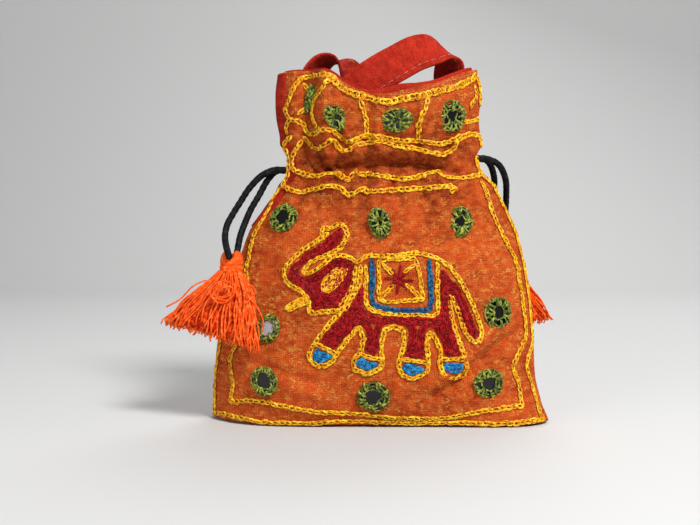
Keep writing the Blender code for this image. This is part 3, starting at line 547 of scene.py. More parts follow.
def in_skirt(table, share, wide, deep):
    """A place in the fan of yarn: its middle at that share of the way down, plus wide and deep steps."""
    x, y, z, width, depth, rise, turn = (read(table, share, k) for k in range(1, 8))
    turn = np.radians(turn)
    x = x + np.cos(turn) * width * wide - np.sin(turn) * depth * deep
    y = y + np.sin(turn) * width * wide + np.cos(turn) * depth * deep
    return np.stack([x, y, z + rise * wide], -1)


def skirt_yarns(table, count):
    """Cut yarns: each keeps its place in the fan on the way down, with a slow wave of its own."""
    wide = chance.uniform(-1, 1, (count, 1))
    deep = chance.uniform(-1, 1, (count, 1)) * np.sqrt(1 - 0.8 * wide**2)
    cut = 0.95 + 0.14 * chance.random((count, 1)) - 0.12 * chance.random((count, 1)) ** 3
    share = np.linspace(0, 1, 13) * cut
    phase, bend = chance.uniform(0, 6.28, (2, count, 1))
    wave = 0.085 * share * np.sin(share * (5 + 5 * chance.random((count, 1))) + phase)
    drift = 2 * share * 0.12 * np.sin(4 * share + bend)
    routes = in_skirt(table, np.minimum(share, 1), wide + wave, deep + drift)
    routes[..., 2] -= np.maximum(share - 1, 0) * 30
    return tubes(routes, 0.5 * (1 - 0.2 * share))


def head_yarns(top, bottom, count):
    """Folded yarns: quarter loops from the binding up to a shallow slit that the cord goes into."""
    turn = np.linspace(0, 2 * np.pi, count, endpoint=False)[:, None]
    lean = np.linspace(np.radians(104), np.radians(8), 11)
    ring = np.sin(lean) ** 0.75
    middle, half = (top + bottom) / 2, (top[2] - bottom[2]) / 2
    x = middle[0] + 5.5 * ring * np.cos(turn)
    y = middle[1] + 5.2 * ring * np.sin(turn)
    slit = 3.2 * np.exp(-(((x - middle[0]) / 1.5) ** 2)) * (1 - ease(lean, 0.6, 1.4))
    z = middle[2] - 1 + half * 1.35 * np.cos(lean) - slit
    return tubes(np.stack([x, y, z], -1), 0.5)


def wound(centre, half_width, half_depth, turns, pitch, radius):
    """A thread wound round an oval: a helix of so many turns."""
    turn = np.linspace(0, 2 * np.pi * turns, 20 * turns + 1)
    x = centre[0] + half_width * np.cos(turn)
    y = centre[1] + half_depth * np.sin(turn)
    return tubes(np.stack([x, y, centre[2] + pitch * turn / (2 * np.pi)], -1)[None], radius, 6, (0, 0, 1))


def tassel_core(table, head):
    """What the outer yarns hide: ovals at four fifths of the fan's size, closed at both ends."""
    sides = 20
    turn = np.arange(sides) / sides * 2 * np.pi
    share = np.linspace(0, 0.93, 12)[:, None]
    skirt = in_skirt(table, share, 0.84 * np.cos(turn), 0.7 * np.sin(turn))
    lean = np.linspace(0.25, 1.7, 6)[:, None]
    ball = np.stack(np.broadcast_arrays(
        head[0] + 4.7 * np.sin(lean) * np.cos(turn), head[1] + 4.3 * np.sin(lean) * np.sin(turn),
        head[2] + 3.6 * np.cos(lean),
    ), -1)
    points = np.concatenate([ball, skirt])
    return points.reshape(-1, 3), tube_faces(len(points), sides, turned=True)


wool = thread_finish("orange wool yarn", DARK_WOOL, WOOL, LIGHT_WOOL, 1500.0, 0.9, 0.1)
wool_shade = thread_finish(
    "wool in the tassel's shade", (0.30, 0.008, 0.0), (0.48, 0.02, 0.001), WOOL, 1500.0, 0.9, 0.1
)
# The middles of the tassels' heads, and the left one's stray yarns by points of the view
HEADS = np.array(((-74.8, -13.8, 83.0), (66.8, 21.6, 83.8)))
STRAYS = (
    ((231, 283), (222, 281), (212, 287), (210, 295), (217, 299), (228, 296), (236, 289)),
    ((238, 276), (245, 283), (253, 287), (255, 293), (250, 299), (245, 305)),
    ((243, 292), (252, 301), (259, 311), (263, 322), (262, 333)),
    ((206, 280), (193, 286), (180, 299), (166, 307)),
    ((226, 284), (214, 292), (204, 306), (201, 322)),
    ((219, 284), (213, 290), (216, 297), (225, 296), (229, 290), (224, 286), (217, 287)),
    ((224, 287), (230, 293), (228, 301), (219, 303), (212, 298), (214, 291)),
    ((232, 280), (235, 290), (230, 299), (221, 300), (217, 294), (222, 288), (231, 287), (238, 296),
     (240, 309)),
)
for side, table, head, (piece, line) in zip(("left", "right"), (SKIRT_LEFT, SKIRT_RIGHT), HEADS, cords):
    yarns = [skirt_yarns(table, 270), head_yarns(head + (0, 0, 4.6), head - (0, 0, 4.6), 64)]
    if side == "left":
        yarns += [tubes(smooth(seen(stray, -27.8), 1.6)[None], 0.42) for stray in STRAYS]
    yarn_piece = put_mesh(f"tassel_{side}_yarns", *joined(yarns), wool)
    core_piece = put_mesh(f"tassel_{side}_core", *tassel_core(table, head), wool_shade)
    binding = wound(head - (0.4, 0.4, 5.6), 5.5, 5.1, 4, 0.72, 0.46)
    binding_piece = put_mesh(f"tassel_{side}_binding", *binding, wool)
    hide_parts("tassel_" + side)

# The cloth: handloom cotton, rust-orange with undyed golden flecks for the front, and plain slubby red
# for back, lining, base and strap. Both are one plain weave in different colours.
FABRIC_DARK, FABRIC, FABRIC_LIGHT = (0.17, 0.014, 0.002), (0.68, 0.085, 0.013), (0.90, 0.22, 0.036)
FLECK = (0.80, 0.38, 0.065)
COTTON_DARK, COTTON_RED, COTTON_LIGHT = (0.15, 0.003, 0.002), (0.56, 0.026, 0.011), (0.72, 0.06, 0.022)


def cloth_group():
    """Plain weave: two square sets of waves for the yarns, uneven noise for slubs and for mottled dye,
    painted shade in a band round 131 mm up where the gathers are, and noise for golden flecks."""
    colours = ("Dark", "Body", "Light", "Fleck")
    group, source, result = new_group("handloom cotton", colours, (("Flecks", 0.5), ("Yarns", 36)))
    nodes, links = group.nodes, group.links
    where = nodes.new("ShaderNodeTexCoord").outputs["UV"]

    def noise(scale, detail, stretch=(1, 1, 1), twist=0.0):
        turned = nodes.new("ShaderNodeMapping")
        turned.inputs["Scale"].default_value = stretch
        links.new(where, turned.inputs["Vector"])
        made = nodes.new("ShaderNodeTexNoise")
        made.inputs["Scale"].default_value = scale
        made.inputs["Detail"].default_value = detail
        made.inputs["Roughness"].default_value = 0.62
        made.inputs["Distortion"].default_value = twist
        links.new(turned.outputs["Vector"], made.inputs["Vector"])
        return made.outputs["Fac"]

    def yarns(direction):
        made = nodes.new("ShaderNodeTexWave")
        made.bands_direction = direction
        made.inputs["Distortion"].default_value = 1.6
        links.new(source["Yarns"], made.inputs["Scale"])
        made.inputs["Detail Scale"].default_value = 9
        links.new(where, made.inputs["Vector"])
        return made.outputs["Fac"]

    def worked(operation, first, second=0.0):
        made = nodes.new("ShaderNodeMath")
        made.operation = operation
        for socket, value in zip(made.inputs, (first, second)):
            if isinstance(value, float):
                socket.default_value = value
            else:
                links.new(value, socket)
        return made.outputs[0]

    height = nodes.new("ShaderNodeSeparateXYZ")
    links.new(where, height.inputs[0])
    # Painted shade: the cloth is darkened in a band round 131 mm up, where the neck's gathers are, and has
    # fewer golden flecks there.
    from_neck = worked("ABSOLUTE", worked("ADD", height.outputs["Y"], -1.31))
    painted_neck_shade = worked("MULTIPLY", ranged(nodes, links, from_neck, 0.42, 0.03), -0.26)
    dye = worked("ADD", noise(14, 9), noise(2.6, 3))
    mottle = ranged(nodes, links, worked("ADD", dye, painted_neck_shade), 0.62, 1.1)
    body = mixed(nodes, links, mottle, source["Dark"], source["Body"])
    bright = ranged(nodes, links, noise(22, 6, (1, 1.6, 1)), 0.42, 0.75)
    body = mixed(nodes, links, worked("MULTIPLY", bright, 0.75), body, source["Light"])
    specks = ranged(nodes, links, noise(38, 8, (1, 1.3, 1), 0.9), 0.51, 0.61)
    specks = worked("MULTIPLY", specks, ranged(nodes, links, noise(10, 6), 0.42, 0.56))
    specks = worked("MULTIPLY", specks, source["Flecks"])
    specks = worked("MULTIPLY", specks, worked("ADD", worked("MULTIPLY", painted_neck_shade, 2.6), 1.0))
    colour = mixed(nodes, links, specks, body, source["Fleck"])
    grain = ranged(nodes, links, noise(150, 5), 0.3, 0.68)
    crossings = worked("MULTIPLY", worked("MULTIPLY", yarns("X"), yarns("Y")), 0.65)
    weave = worked("ADD", crossings, grain)
    dusk = ranged(nodes, links, weave, 0.08, 1.05)
    shaded = mixed(nodes, links, dusk, source["Dark"], colour)
    links.new(mixed(nodes, links, 0.75, colour, shaded), result["Colour"])
    links.new(weave, result["Height"])
    return group


handloom_cotton = cloth_group()
CLOTH_RELIEF = 0.00032


def cotton_finish(name, dark, body, light, fleck, flecks, yarns):
    """A cotton cloth's material: the handloom group on a plain matt shader with hardly any gloss."""
    finish = new_finish(name, {"Roughness": 0.95, "Specular IOR Level": 0.12})
    settings = {"Dark": dark, "Body": body, "Light": light, "Fleck": fleck, "Flecks": flecks, "Yarns": yarns}
    return patterned(finish, handloom_cotton, settings, CLOTH_RELIEF)


orange_cotton = cotton_finish(
    "rust-orange handloom cotton", FABRIC_DARK, FABRIC, FABRIC_LIGHT, FLECK, 0.85, 36
)
red_cotton = cotton_finish(
    "plain red cotton", COTTON_DARK, COTTON_RED, COTTON_LIGHT, COTTON_LIGHT, 0.25, 27
)


def thicken(piece, thickness, careful=False):
    """Gives cloth its thickness in mm, inwards from the face that is drawn."""
    wall = piece.modifiers.new("cloth", "SOLIDIFY")
    wall.thickness = thickness * MM
    wall.offset = -1
    wall.use_quality_normals = careful


def panel(name, side, rim, columns, rows, finish):
    """One panel of the bag: a grid across and up it, opened a little at the sides over the cord slot."""
    across = np.sin(np.linspace(-1, 1, columns) * np.pi / 2)[None, :]
    share = np.linspace(0, 1, rows)[:, None]
    up = 0.7 + share * (read(rim, across) - 0.7)
    points = cloth(across * open_edge(up), up, side)
    quads = grid_faces(rows, columns)[:, :: 1 if side == FRONT else -1]
    uv = points[..., [0, 2]].reshape(-1, 2) / UV_UNIT
    piece = put_mesh(name, points.reshape(-1, 3), quads.tolist(), finish, uv)
    thicken(piece, CLOTH_THICKNESS, careful=True)
    return piece


front = panel("front_cloth", FRONT, RIM_FRONT, 170, 200, orange_cotton)
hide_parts("front_panel")
back = panel("back_cloth", BACK, RIM_BACK, 120, 140, red_cotton)
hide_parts("back_panel")

# The red back panel is turned round the left side seam and shows as a narrow band on the front, beside
# the neck and the ruffle. It rises from the front's cloth in a low arch.
columns, rows = 7, 90
share = np.linspace(0, 1, columns)[None, :]
up = np.linspace(100, 178.4, rows)[:, None]
across = -open_edge(up) + share * 0.09 * ease(up, 100, 110)
lift = 0.75 * np.sin(np.pi * (0.25 + 0.75 * share)) ** 0.6
points = cloth(across, up, FRONT) + facing(across, up) * lift[..., None]
uv = points[..., [0, 2]].reshape(-1, 2) / UV_UNIT
quads = grid_faces(rows, columns).tolist()
band = put_mesh("side_band_cloth", points.reshape(-1, 3), quads, red_cotton, uv)
thicken(band, 0.6)

# Lining and base: a plain red bag sewn to the outer one at the rim, and a flat oval piece let in under
# both. The lining keeps off the outer cloth at the neck, where the cords run between them.
LINING_INSET = np.array((
    (0, 0.8), (30, 0.5), (96, 0.6), (112, 3.0), (122, 7.6), (138, 7.6), (150, 3.2), (166, 1.0), (181, 0.3),
))
LINING_END_INSET = np.array((
    (0, 3.0), (30, 2.2), (96, 1.6), (114, 4.0), (124, 8.5), (140, 8.5), (150, 3.4), (181, 1.2),
))
rows, columns = 60, 40
across = np.sin(np.linspace(-1, 1, columns) * np.pi / 2)[None, :]
share = np.linspace(0, 1, rows)[:, None]
halves = []
for side, rim, turn in ((FRONT, RIM_FRONT, 1), (BACK, RIM_BACK, -1)):
    top = read(rim, across * turn) + 1.1
    if side == FRONT:
        top = top + 2.6 * np.exp(-(((across - 0.15) / 0.22) ** 2))
    up = 1.8 + share * (top - 1.8)
    inset = 1.7 + read(LINING_INSET, up) + 1.5 * read(GATHER_RISE, up) * (1 - ease(up, 150, 176))
    folded = 0.3 + 0.7 * ease(up, 152, 172)
    halves.append(cloth(across * turn, up, side, inset, 1.6 + read(LINING_END_INSET, up), folded))
ring = np.concatenate(halves, 1)
around = ring.shape[1]
faces = grid_faces(rows, around, closed=True).tolist() + [list(range(around))[::-1]]
uv = np.stack(np.broadcast_arrays(np.linspace(0, 3, around), ring[..., 2] / UV_UNIT), -1)
lining = put_mesh("lining_cloth", ring.reshape(-1, 3), faces, red_cotton, uv.reshape(-1, 2))
thicken(lining, 0.7)
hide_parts("lining")

rows, columns = 14, 48
across = np.sin(np.linspace(-1, 1, columns) * np.pi / 2) * 0.985
share = np.linspace(0, 1, rows)[:, None, None]
front_line, back_line = (cloth(across, 0.0, side, 1.7, 3.6, 0.0) for side in (FRONT, BACK))
points = (front_line * (1 - share) + back_line * share).reshape(-1, 3)
quads = grid_faces(rows, columns)[:, [0, 3, 2, 1]].tolist()
base = put_mesh("base_cloth", points, quads, red_cotton, points[:, :2] / UV_UNIT)
thicken(base, CLOTH_THICKNESS)
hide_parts("base_panel")

# The handle: a strap of the red cotton folded to four layers and run down both long edges, sewn in at
# the side seams. Its middle has sunk into the mouth, so that it stands as an M.
STRAP_HALF_WIDTH, STRAP_HALF_THICKNESS, STRAP_STEP = 9.5, 0.95, 0.9
# Middle of the strap x, y, z, and the way that its width points
STRAP = np.array((
    (37.4, 5.0, 157, -0.80, 0.60, 0.0), (37.6, 5.0, 168, -0.80, 0.60, 0.0),
    (37.2, 5.0, 178, -0.80, 0.60, 0.0), (37.2, 2.4, 186, -0.62, 0.76, 0.2),
    (34.0, -1.0, 190.5, -0.25, 0.83, 0.5), (27.3, -4.5, 190.9, -0.25, 0.45, 0.86),
    (18.5, -6.7, 188.4, -0.40, 0.20, 0.89), (9.6, -9.6, 183.4, -0.50, 0.08, 0.86),
    (0.7, -12.0, 177.9, -0.52, 0.0, 0.85), (-7.3, -13.2, 172.4, -0.54, 0.0, 0.84),
    (-15.0, -12.0, 166, -0.68, 0.05, 0.73), (-18.5, -7.0, 158.5, -0.90, 0.10, 0.42),
    (-17.0, 0.0, 156, -0.98, -0.10, 0.1), (-13.0, 6.0, 160, -0.94, -0.33, -0.1),
    (-10.0, 7.5, 168, -0.80, -0.55, -0.2), (-11.0, 6.0, 176, -0.55, -0.70, -0.45),
    (-16.0, 4.5, 182.5, -0.35, -0.78, -0.52), (-23.0, 3.5, 186, -0.10, -0.98, 0.10),
    (-30.0, 3.0, 183.5, -0.22, -0.90, 0.38), (-35.0, 3.0, 177, -0.50, -0.84, 0.22),
    (-37.0, 3.0, 168, -0.62, -0.78, 0.0), (-37.5, 3.0, 157, -0.62, -0.78, 0.0),
))
line = evenly(smooth(STRAP, 2.0), STRAP_STEP)
middle = line[:, :3]
ahead = unit(np.gradient(middle, axis=0))
wide = unit(line[:, 3:] - ahead * (line[:, 3:] * ahead).sum(1, keepdims=True))
thick = np.cross(ahead, wide)
run = np.arange(len(line)) * STRAP_STEP


def on_strap(at, share, out):
    """A place on the strap: so far along it, a share of the half width across, and out from its middle
    layer, with a slow ripple that grows towards the edges."""
    def along(rows):
        return np.stack([np.interp(at, run, rows[:, k]) for k in range(3)], -1)

    ripple = 0.35 * np.sin(at / 5.2 + 2.2 * share) * share**2 + 0.2 * np.sin(at / 3.1)
    return (
        along(middle) + along(wide) * (share * STRAP_HALF_WIDTH)[..., None]
        + along(thick) * (out + ripple)[..., None]
    )


sides = 36
turn = np.arange(sides) / sides * 2 * np.pi
share = np.sign(np.cos(turn)) * np.abs(np.cos(turn)) ** 0.5
hem = 1 + 0.22 * np.exp(-(((np.abs(share) - 0.86) / 0.12) ** 2))
out = np.sign(np.sin(turn)) * np.abs(np.sin(turn)) ** 0.4 * STRAP_HALF_THICKNESS * hem
at, share, out = np.broadcast_arrays(run[:, None], share, out)
points = on_strap(at, share, out).reshape(-1, 3)
uv = np.stack([share * STRAP_HALF_WIDTH / UV_UNIT + 0.2, at / UV_UNIT], -1).reshape(-1, 2)
strap = put_mesh("handle_strap_cloth", points, tube_faces(len(run), sides), red_cotton, uv)
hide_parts("handle_strap")

# Hand sewing in pale thread: running stitches near one edge of the strap, on both its faces, and a row
# that holds the front's hem along the rim.
# The sewing thread's light colour goes on as painted highlights and its dark colour partly as painted shade.
STITCH_DARK, STITCH, STITCH_LIGHT = (0.36, 0.09, 0.06), (0.56, 0.22, 0.16), (0.68, 0.36, 0.28)
sewing_thread = thread_finish("pale sewing thread", STITCH_DARK, STITCH, STITCH_LIGHT, 1200.0, 0.6)
starts = np.arange(16.0, run[-1] - 16, 4.6)
at = starts[:, None] + np.linspace(0, 3.2, 7)
height = STRAP_HALF_THICKNESS * 1.02 + np.array((-0.35, 0.05, 0.16, 0.2, 0.16, 0.05, -0.35))
beside = np.full(at.shape, -0.69)
faces_of_strap = [on_strap(at, beside, np.broadcast_to(height * face, at.shape)) for face in (1, -1)]
stitches = joined([tubes(routes, 0.17) for routes in faces_of_strap])
stitching = put_mesh("handle_strap_stitching", *stitches, sewing_thread)

middles = np.linspace(-0.62, 0.92, 34)[:, None]
at = middles + np.linspace(-0.5, 0.5, 5) * 0.026
under = read(RIM_FRONT, at) - 1.9 + 0.25 * np.sin(middles * 40)
lift = np.array((-0.3, 0.12, 0.2, 0.12, -0.3))[:, None]
routes = cloth(at, under, FRONT) + facing(at, under) * lift
rim_row = put_mesh("rim_stitching", *tubes(routes, 0.2), sewing_thread)

# The chain stitch: rayon thread worked with a hooked needle, each loop coming up inside the last one
# and held down by the next. Yellow rows frame the bag and draw the elephant.
# Each rayon thread's light colour goes on as painted highlights and its dark colour partly as painted shade.
YELLOW_DARK, YELLOW, YELLOW_LIGHT = (0.42, 0.11, 0.0), (0.98, 0.45, 0.001), (1.0, 0.76, 0.03)
RED_DARK, RED, RED_LIGHT = (0.12, 0.001, 0.002), (0.30, 0.002, 0.005), (0.52, 0.010, 0.014)
SADDLE_DARK, SADDLE, SADDLE_LIGHT = (0.001, 0.022, 0.06), (0.003, 0.085, 0.21), (0.02, 0.21, 0.42)
FOOT_DARK, FOOT, FOOT_LIGHT = (0.001, 0.045, 0.13), (0.004, 0.17, 0.42), (0.03, 0.42, 0.80)
yellow_thread = thread_finish("yellow rayon thread", YELLOW_DARK, YELLOW, YELLOW_LIGHT, 800.0, 0.38)
red_thread = thread_finish("red rayon thread", RED_DARK, RED, RED_LIGHT, 800.0, 0.42, 0.16)
saddle_thread = thread_finish("saddle blue rayon thread", SADDLE_DARK, SADDLE, SADDLE_LIGHT, 800.0, 0.4)
foot_thread = thread_finish("foot blue rayon thread", FOOT_DARK, FOOT, FOOT_LIGHT, 800.0, 0.4)


def chain_stitch(rows, width, pitch, radius):
    """Rows of chain stitch on the front. A loop is drawn out of its row as a teardrop: along goes as
    -cos, across as sin and narrower at the back, and its front rides up over the start of the next."""
    frames = []
    for pixels in rows:
        places, normals = on_front(smooth(pixels, 3.0) if len(pixels) < 40 else pixels)
        line = evenly(np.hstack([places, normals * 0.01]), pitch)
        ahead = np.diff(line[:, :3], axis=0)
        long = np.linalg.norm(ahead, axis=1, keepdims=True)
        normal = line[:-1, 3:] + line[1:, 3:]
        frames.append(np.hstack([(line[1:, :3] + line[:-1, :3]) / 2, ahead / long, normal, long]))
    frames = np.vstack(frames)
    count = len(frames)
    centre, ahead, normal, long = frames[:, :3], frames[:, 3:6], frames[:, 6:9], frames[:, 9:]
    normal = unit(normal - ahead * (normal * ahead).sum(1, keepdims=True))
    beside = np.cross(normal, ahead)
    turn = np.arange(10) / 10 * 2 * np.pi
    along = -np.cos(turn) * (long * 0.5 + radius * 2.2)
    across = np.sin(turn) * (0.96 - 0.34 * np.cos(turn)) * (width / 2 - radius)
    across = across * chance.uniform(0.74, 1.16, (count, 1)) + along * chance.normal(0, 0.12, (count, 1))
    height = radius * (0.85 - 0.6 * np.cos(turn)) + chance.uniform(0, 0.3, (count, 1))
    plies = []
    for ply, (share, rise) in enumerate(((1.0, 0.0), (0.66, 0.35))):
        lean = chance.normal(0, 0.3 * radius, (2, count, 1))
        routes = (
            centre[:, None] + ahead[:, None] * (along * (0.97 - 0.1 * ply) + lean[0])[..., None]
            + beside[:, None] * (across * share + lean[1])[..., None]
            + normal[:, None] * (height + rise * radius)[..., None]
        )
        thick = radius * chance.uniform(0.56, 0.84, (count, 1))
        plies.append(tubes(routes, thick, 4, normal[:, None], closed=True))
    return joined(plies)


def embroider(name, rows, size, thread, slot, *stands_for):
    """A piece of chain stitch for its plain solids; size is the row's width, its pitch and the thread's
    radius."""
    piece = put_mesh(name, *chain_stitch(rows, *size), thread)
    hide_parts(*stands_for)


BORDER = (
    (
        (291, 137), (283, 148), (280, 156), (282, 165), (286, 178), (284, 185), (277, 193), (272, 204),
        (265, 218), (254.5, 235), (250, 254), (246, 272), (247.6, 279), (247.6, 295), (250, 301),
        (246, 318), (237.6, 341), (230, 361), (233, 384), (230, 402),
    ),
    ((243, 266), (239, 280), (232, 300), (226, 320), (220, 344), (216, 368), (211, 391), (211, 412)),
    (
        (211, 413), (242, 419), (265, 424), (303, 425), (350, 422), (405, 424), (467, 424), (508, 425),
        (544, 421),
    ),
    (
        (544, 421), (540, 412), (534, 391), (527, 368), (528, 359), (534, 338), (533, 322), (529, 292),
        (524, 261), (516, 231), (504, 201), (492, 180), (487, 170), (484, 158),
    ),
    (
        (480, 183), (485, 190), (488, 200), (495, 220), (508, 246), (516, 264), (521, 292), (525.5, 327),
        (525.5, 338), (518, 356), (513, 368), (519, 384), (522, 406),
    ),
    (
        (230, 403), (257, 402), (288, 408), (318, 413), (350, 414), (401, 419), (447, 418.5), (478, 413),
        (522, 407),
    ),
)
NECK = (
    (
        (302, 141), (296, 150), (293, 158), (292, 165), (294, 171), (300, 173), (310, 176), (320, 176),
        (330, 174.5), (340, 174.5), (347, 180.5), (353, 175), (356, 171.5), (360, 175), (370, 174.5),
        (385, 177), (400, 179), (415, 178), (430, 173.5), (439, 172.5), (442, 176.5), (460, 179),
        (470, 177), (482, 174),
    ),
    ((475, 160), (477, 168), (482, 174)),
    (
        (284, 186), (290, 190), (300, 192.5), (310, 191), (320, 188), (330, 186), (337, 186.5), (343, 190),
        (348, 195.5), (355, 192.5), (362, 187.5), (366, 192), (380, 191.5), (400, 189.5), (425, 188),
        (450, 186.5),
    ),
    ((450, 186.5), (455, 188), (454, 192), (450, 191)),
)
RUFFLE_TOP = (
    ((328, 78), (335, 82), (340, 88), (350, 93), (362, 97), (375, 101), (387, 103), (400, 100), (420, 96.5),
     (440, 92), (455, 88), (468, 82), (474, 77)),
)
RUFFLE = (
    ((288, 134), (287, 127), (291, 120), (288, 115), (286, 110), (289, 104), (292, 95), (295, 87), (302, 80),
     (310, 78), (320, 76.5), (330, 75.5), (336, 77)),
    ((329, 80), (322, 90), (316, 100), (313, 110), (314, 120), (320, 131)),
    ((360, 102), (363, 112), (366, 124), (366, 135)),
    ((427, 99), (425, 108), (420, 122), (418, 138)),
    ((473.5, 76), (476, 80), (479, 88), (480.4, 95), (480, 105)),
    ((474, 88), (475, 98), (469, 107)),
    ((461, 124), (469, 122), (477, 120)),
    ((304, 86), (311, 93)),
    ((299, 114), (306, 109)),
    ((291, 120), (300, 122), (304, 127), (308, 133), (315, 135), (320, 131), (330, 130), (335, 133),
     (341, 138), (350, 142), (357, 140), (362, 136), (380, 137), (400, 141), (420, 141), (435, 144),
     (448, 142), (459, 136)),
    ((304, 138), (308, 141), (313, 147), (318, 149), (325, 145), (333, 140), (338, 147), (343, 152),
     (350, 150), (356, 146), (380, 142), (400, 147), (420, 150), (435, 154), (445, 154), (455, 147),
     (458, 139), (470, 135), (481, 138), (481, 146)),
)
for name, rows, width, stands_for in (
    ("border_stitches", BORDER, 3.3, ("border_outer", "border_inner")),
    ("neck_stitches", NECK, 3.3, ("neck_frame", "neck_lower")),
    ("ruffle_top_stitches", RUFFLE_TOP, 4.2, ("ruffle_top",)),
    ("ruffle_stitches", RUFFLE, 3.2, ("ruffle_lower", *(f"ruffle_divider_{k}" for k in range(1, 5)))),
):
    embroider(name, rows, (width, 3.1, 0.46), yellow_thread, "yellow_thread", *stands_for)

# The elephant: red rows that follow its outline inwards until it is full, a yellow ear and tusk, blue
# feet, and yellow rows drawn round them all.
HEAD = (
    (341, 229), (343, 235), (339, 243), (332, 249), (326, 253), (316.5, 256.5), (309, 259), (305, 263.5),
    (300.5, 269), (298.6, 272), (300.5, 277), (305, 278), (313, 275.6), (323, 269), (328, 264), (332, 261),
    (339, 259), (344, 258), (348, 261), (352, 264), (356, 265), (354, 270.5), (354, 277.5), (353, 283),
    (351, 288), (349.6, 293), (345, 297), (342, 302), (341, 308), (332, 307.5), (323, 309), (314.5, 309),
    (312.6, 305.6), (311, 301), (310, 297), (308, 293), (304, 290), (299, 286), (294, 283), (290, 280),
    (289, 276), (290, 270.5), (293.5, 265), (300.5, 260), (304, 254), (311, 250), (318, 246), (323.5, 242),
    (330, 236),
)
BODY = (
    (363, 288), (362.5, 306), (368, 313), (376.5, 317), (389, 318), (412, 318), (436, 318), (439, 314),
    (441, 293), (440, 276), (442, 270), (446, 273), (451, 280), (456, 284), (461, 290.5), (466, 302),
    (471, 315), (476, 327.5), (479, 336), (475, 339.5), (469, 334), (463, 326), (459, 315), (456, 305),
    (452, 296.5), (449.5, 293), (449.5, 302), (451, 315), (452, 327.5), (455, 334), (457, 343), (459, 350),
    (461, 355), (446, 357), (445, 352), (443, 343), (437.5, 333), (433, 327), (427, 327.5), (425, 336),
    (424, 352), (424, 356), (418.5, 358.5), (406, 356), (408, 347), (410, 336), (410, 330), (407, 326),
    (394, 323), (384, 325), (381, 330), (379, 336), (378, 345), (377, 355), (365, 351), (366, 345.5),
    (367, 338), (366, 329.5), (364, 326), (359, 323), (355.5, 326), (352, 331), (348, 334), (344, 337),
    (341, 342), (338, 345.5), (335, 349), (331, 347), (321, 342), (323, 338.5), (328, 331), (333, 326),
    (338, 321), (343, 316), (346, 310), (351, 306), (355, 300), (357, 294),
)
EAR = (
    (321.6, 284), (321, 288), (322, 292), (329, 293), (337, 288), (341, 283), (346, 276), (348, 271),
    (342, 268), (336, 269), (329, 274), (324, 279),
)
TUSK = ((285, 307), (287, 311), (291, 312), (299, 307.5), (309, 303.6), (308, 297), (302, 296.6), (293, 301))
FEET = (
    ((316.6, 349), (322, 352), (328, 353), (332, 357), (327, 361), (322, 363), (316, 362), (312, 358)),
    ((362, 358), (369, 362), (376, 363), (379, 365), (376, 368), (368, 371), (361, 369), (355.5, 364)),
    ((410, 364), (418.5, 366), (425, 369), (422, 373), (413, 376), (405, 373), (402, 369), (403, 365)),
    ((446, 364), (455, 364), (462.5, 364), (462.5, 370.5), (457, 374), (449, 373), (444, 369)),
)


def from_edge(points, outline):
    """Each point's distance from a closed outline: the least over its edges, by clamped projection."""
    start, step = outline, np.roll(outline, -1, 0) - outline
    off = points[:, None] - start
    share = np.clip((off * step).sum(-1) / np.maximum((step * step).sum(-1), 1e-9), 0, 1)
    return np.linalg.norm(off - share[..., None] * step, axis=-1).min(1)


def filling(pixels, first, spacing, levels):
    """Rows that follow an outline at growing distances inside it: its points moved in along their
    normals, kept where nothing else of the outline is nearer, and split where they are not."""
    outline = smooth(pixels, 1.5, closed=True)
    dense = evenly(np.vstack([outline, outline[:1]]), 0.8)[:-1]
    ahead = np.roll(dense, -2, 0) - np.roll(dense, 2, 0)
    inward = unit(np.stack([-ahead[:, 1], ahead[:, 0]], -1))
    area = (dense[:, 0] * np.roll(dense[:, 1], -1) - dense[:, 1] * np.roll(dense[:, 0], -1)).sum()
    inward = inward * np.sign(area)
    rows = []
    for level in range(levels):
        deep = first + level * spacing
        moved = dense + inward * deep
        kept = from_edge(moved, outline) > deep - 1.5
        if not kept.any():
            break
        if not kept.all():
            start = int(np.argmin(kept))
            moved, kept = np.roll(moved, -start, 0), np.roll(kept, -start)
        else:
            moved, kept = np.vstack([moved, moved[:1]]), np.append(kept, True)
        marks = np.flatnonzero(np.diff(np.concatenate([[0], kept.astype(int), [0]])))
        for low, high in marks.reshape(-1, 2):
            if high - low > 5:
                rows.append(moved[low:high])
    return rows


def filled(shapes, first, spacing, levels):
    """The rows that fill some outlines, with their points so close together that chain_stitch leaves
    them where they are."""
    rows = [row for pixels in shapes for row in filling(pixels, first, spacing, levels)]
    return [evenly(row, 1.0 if len(row) >= 40 else length_of(row) / 45) for row in rows]


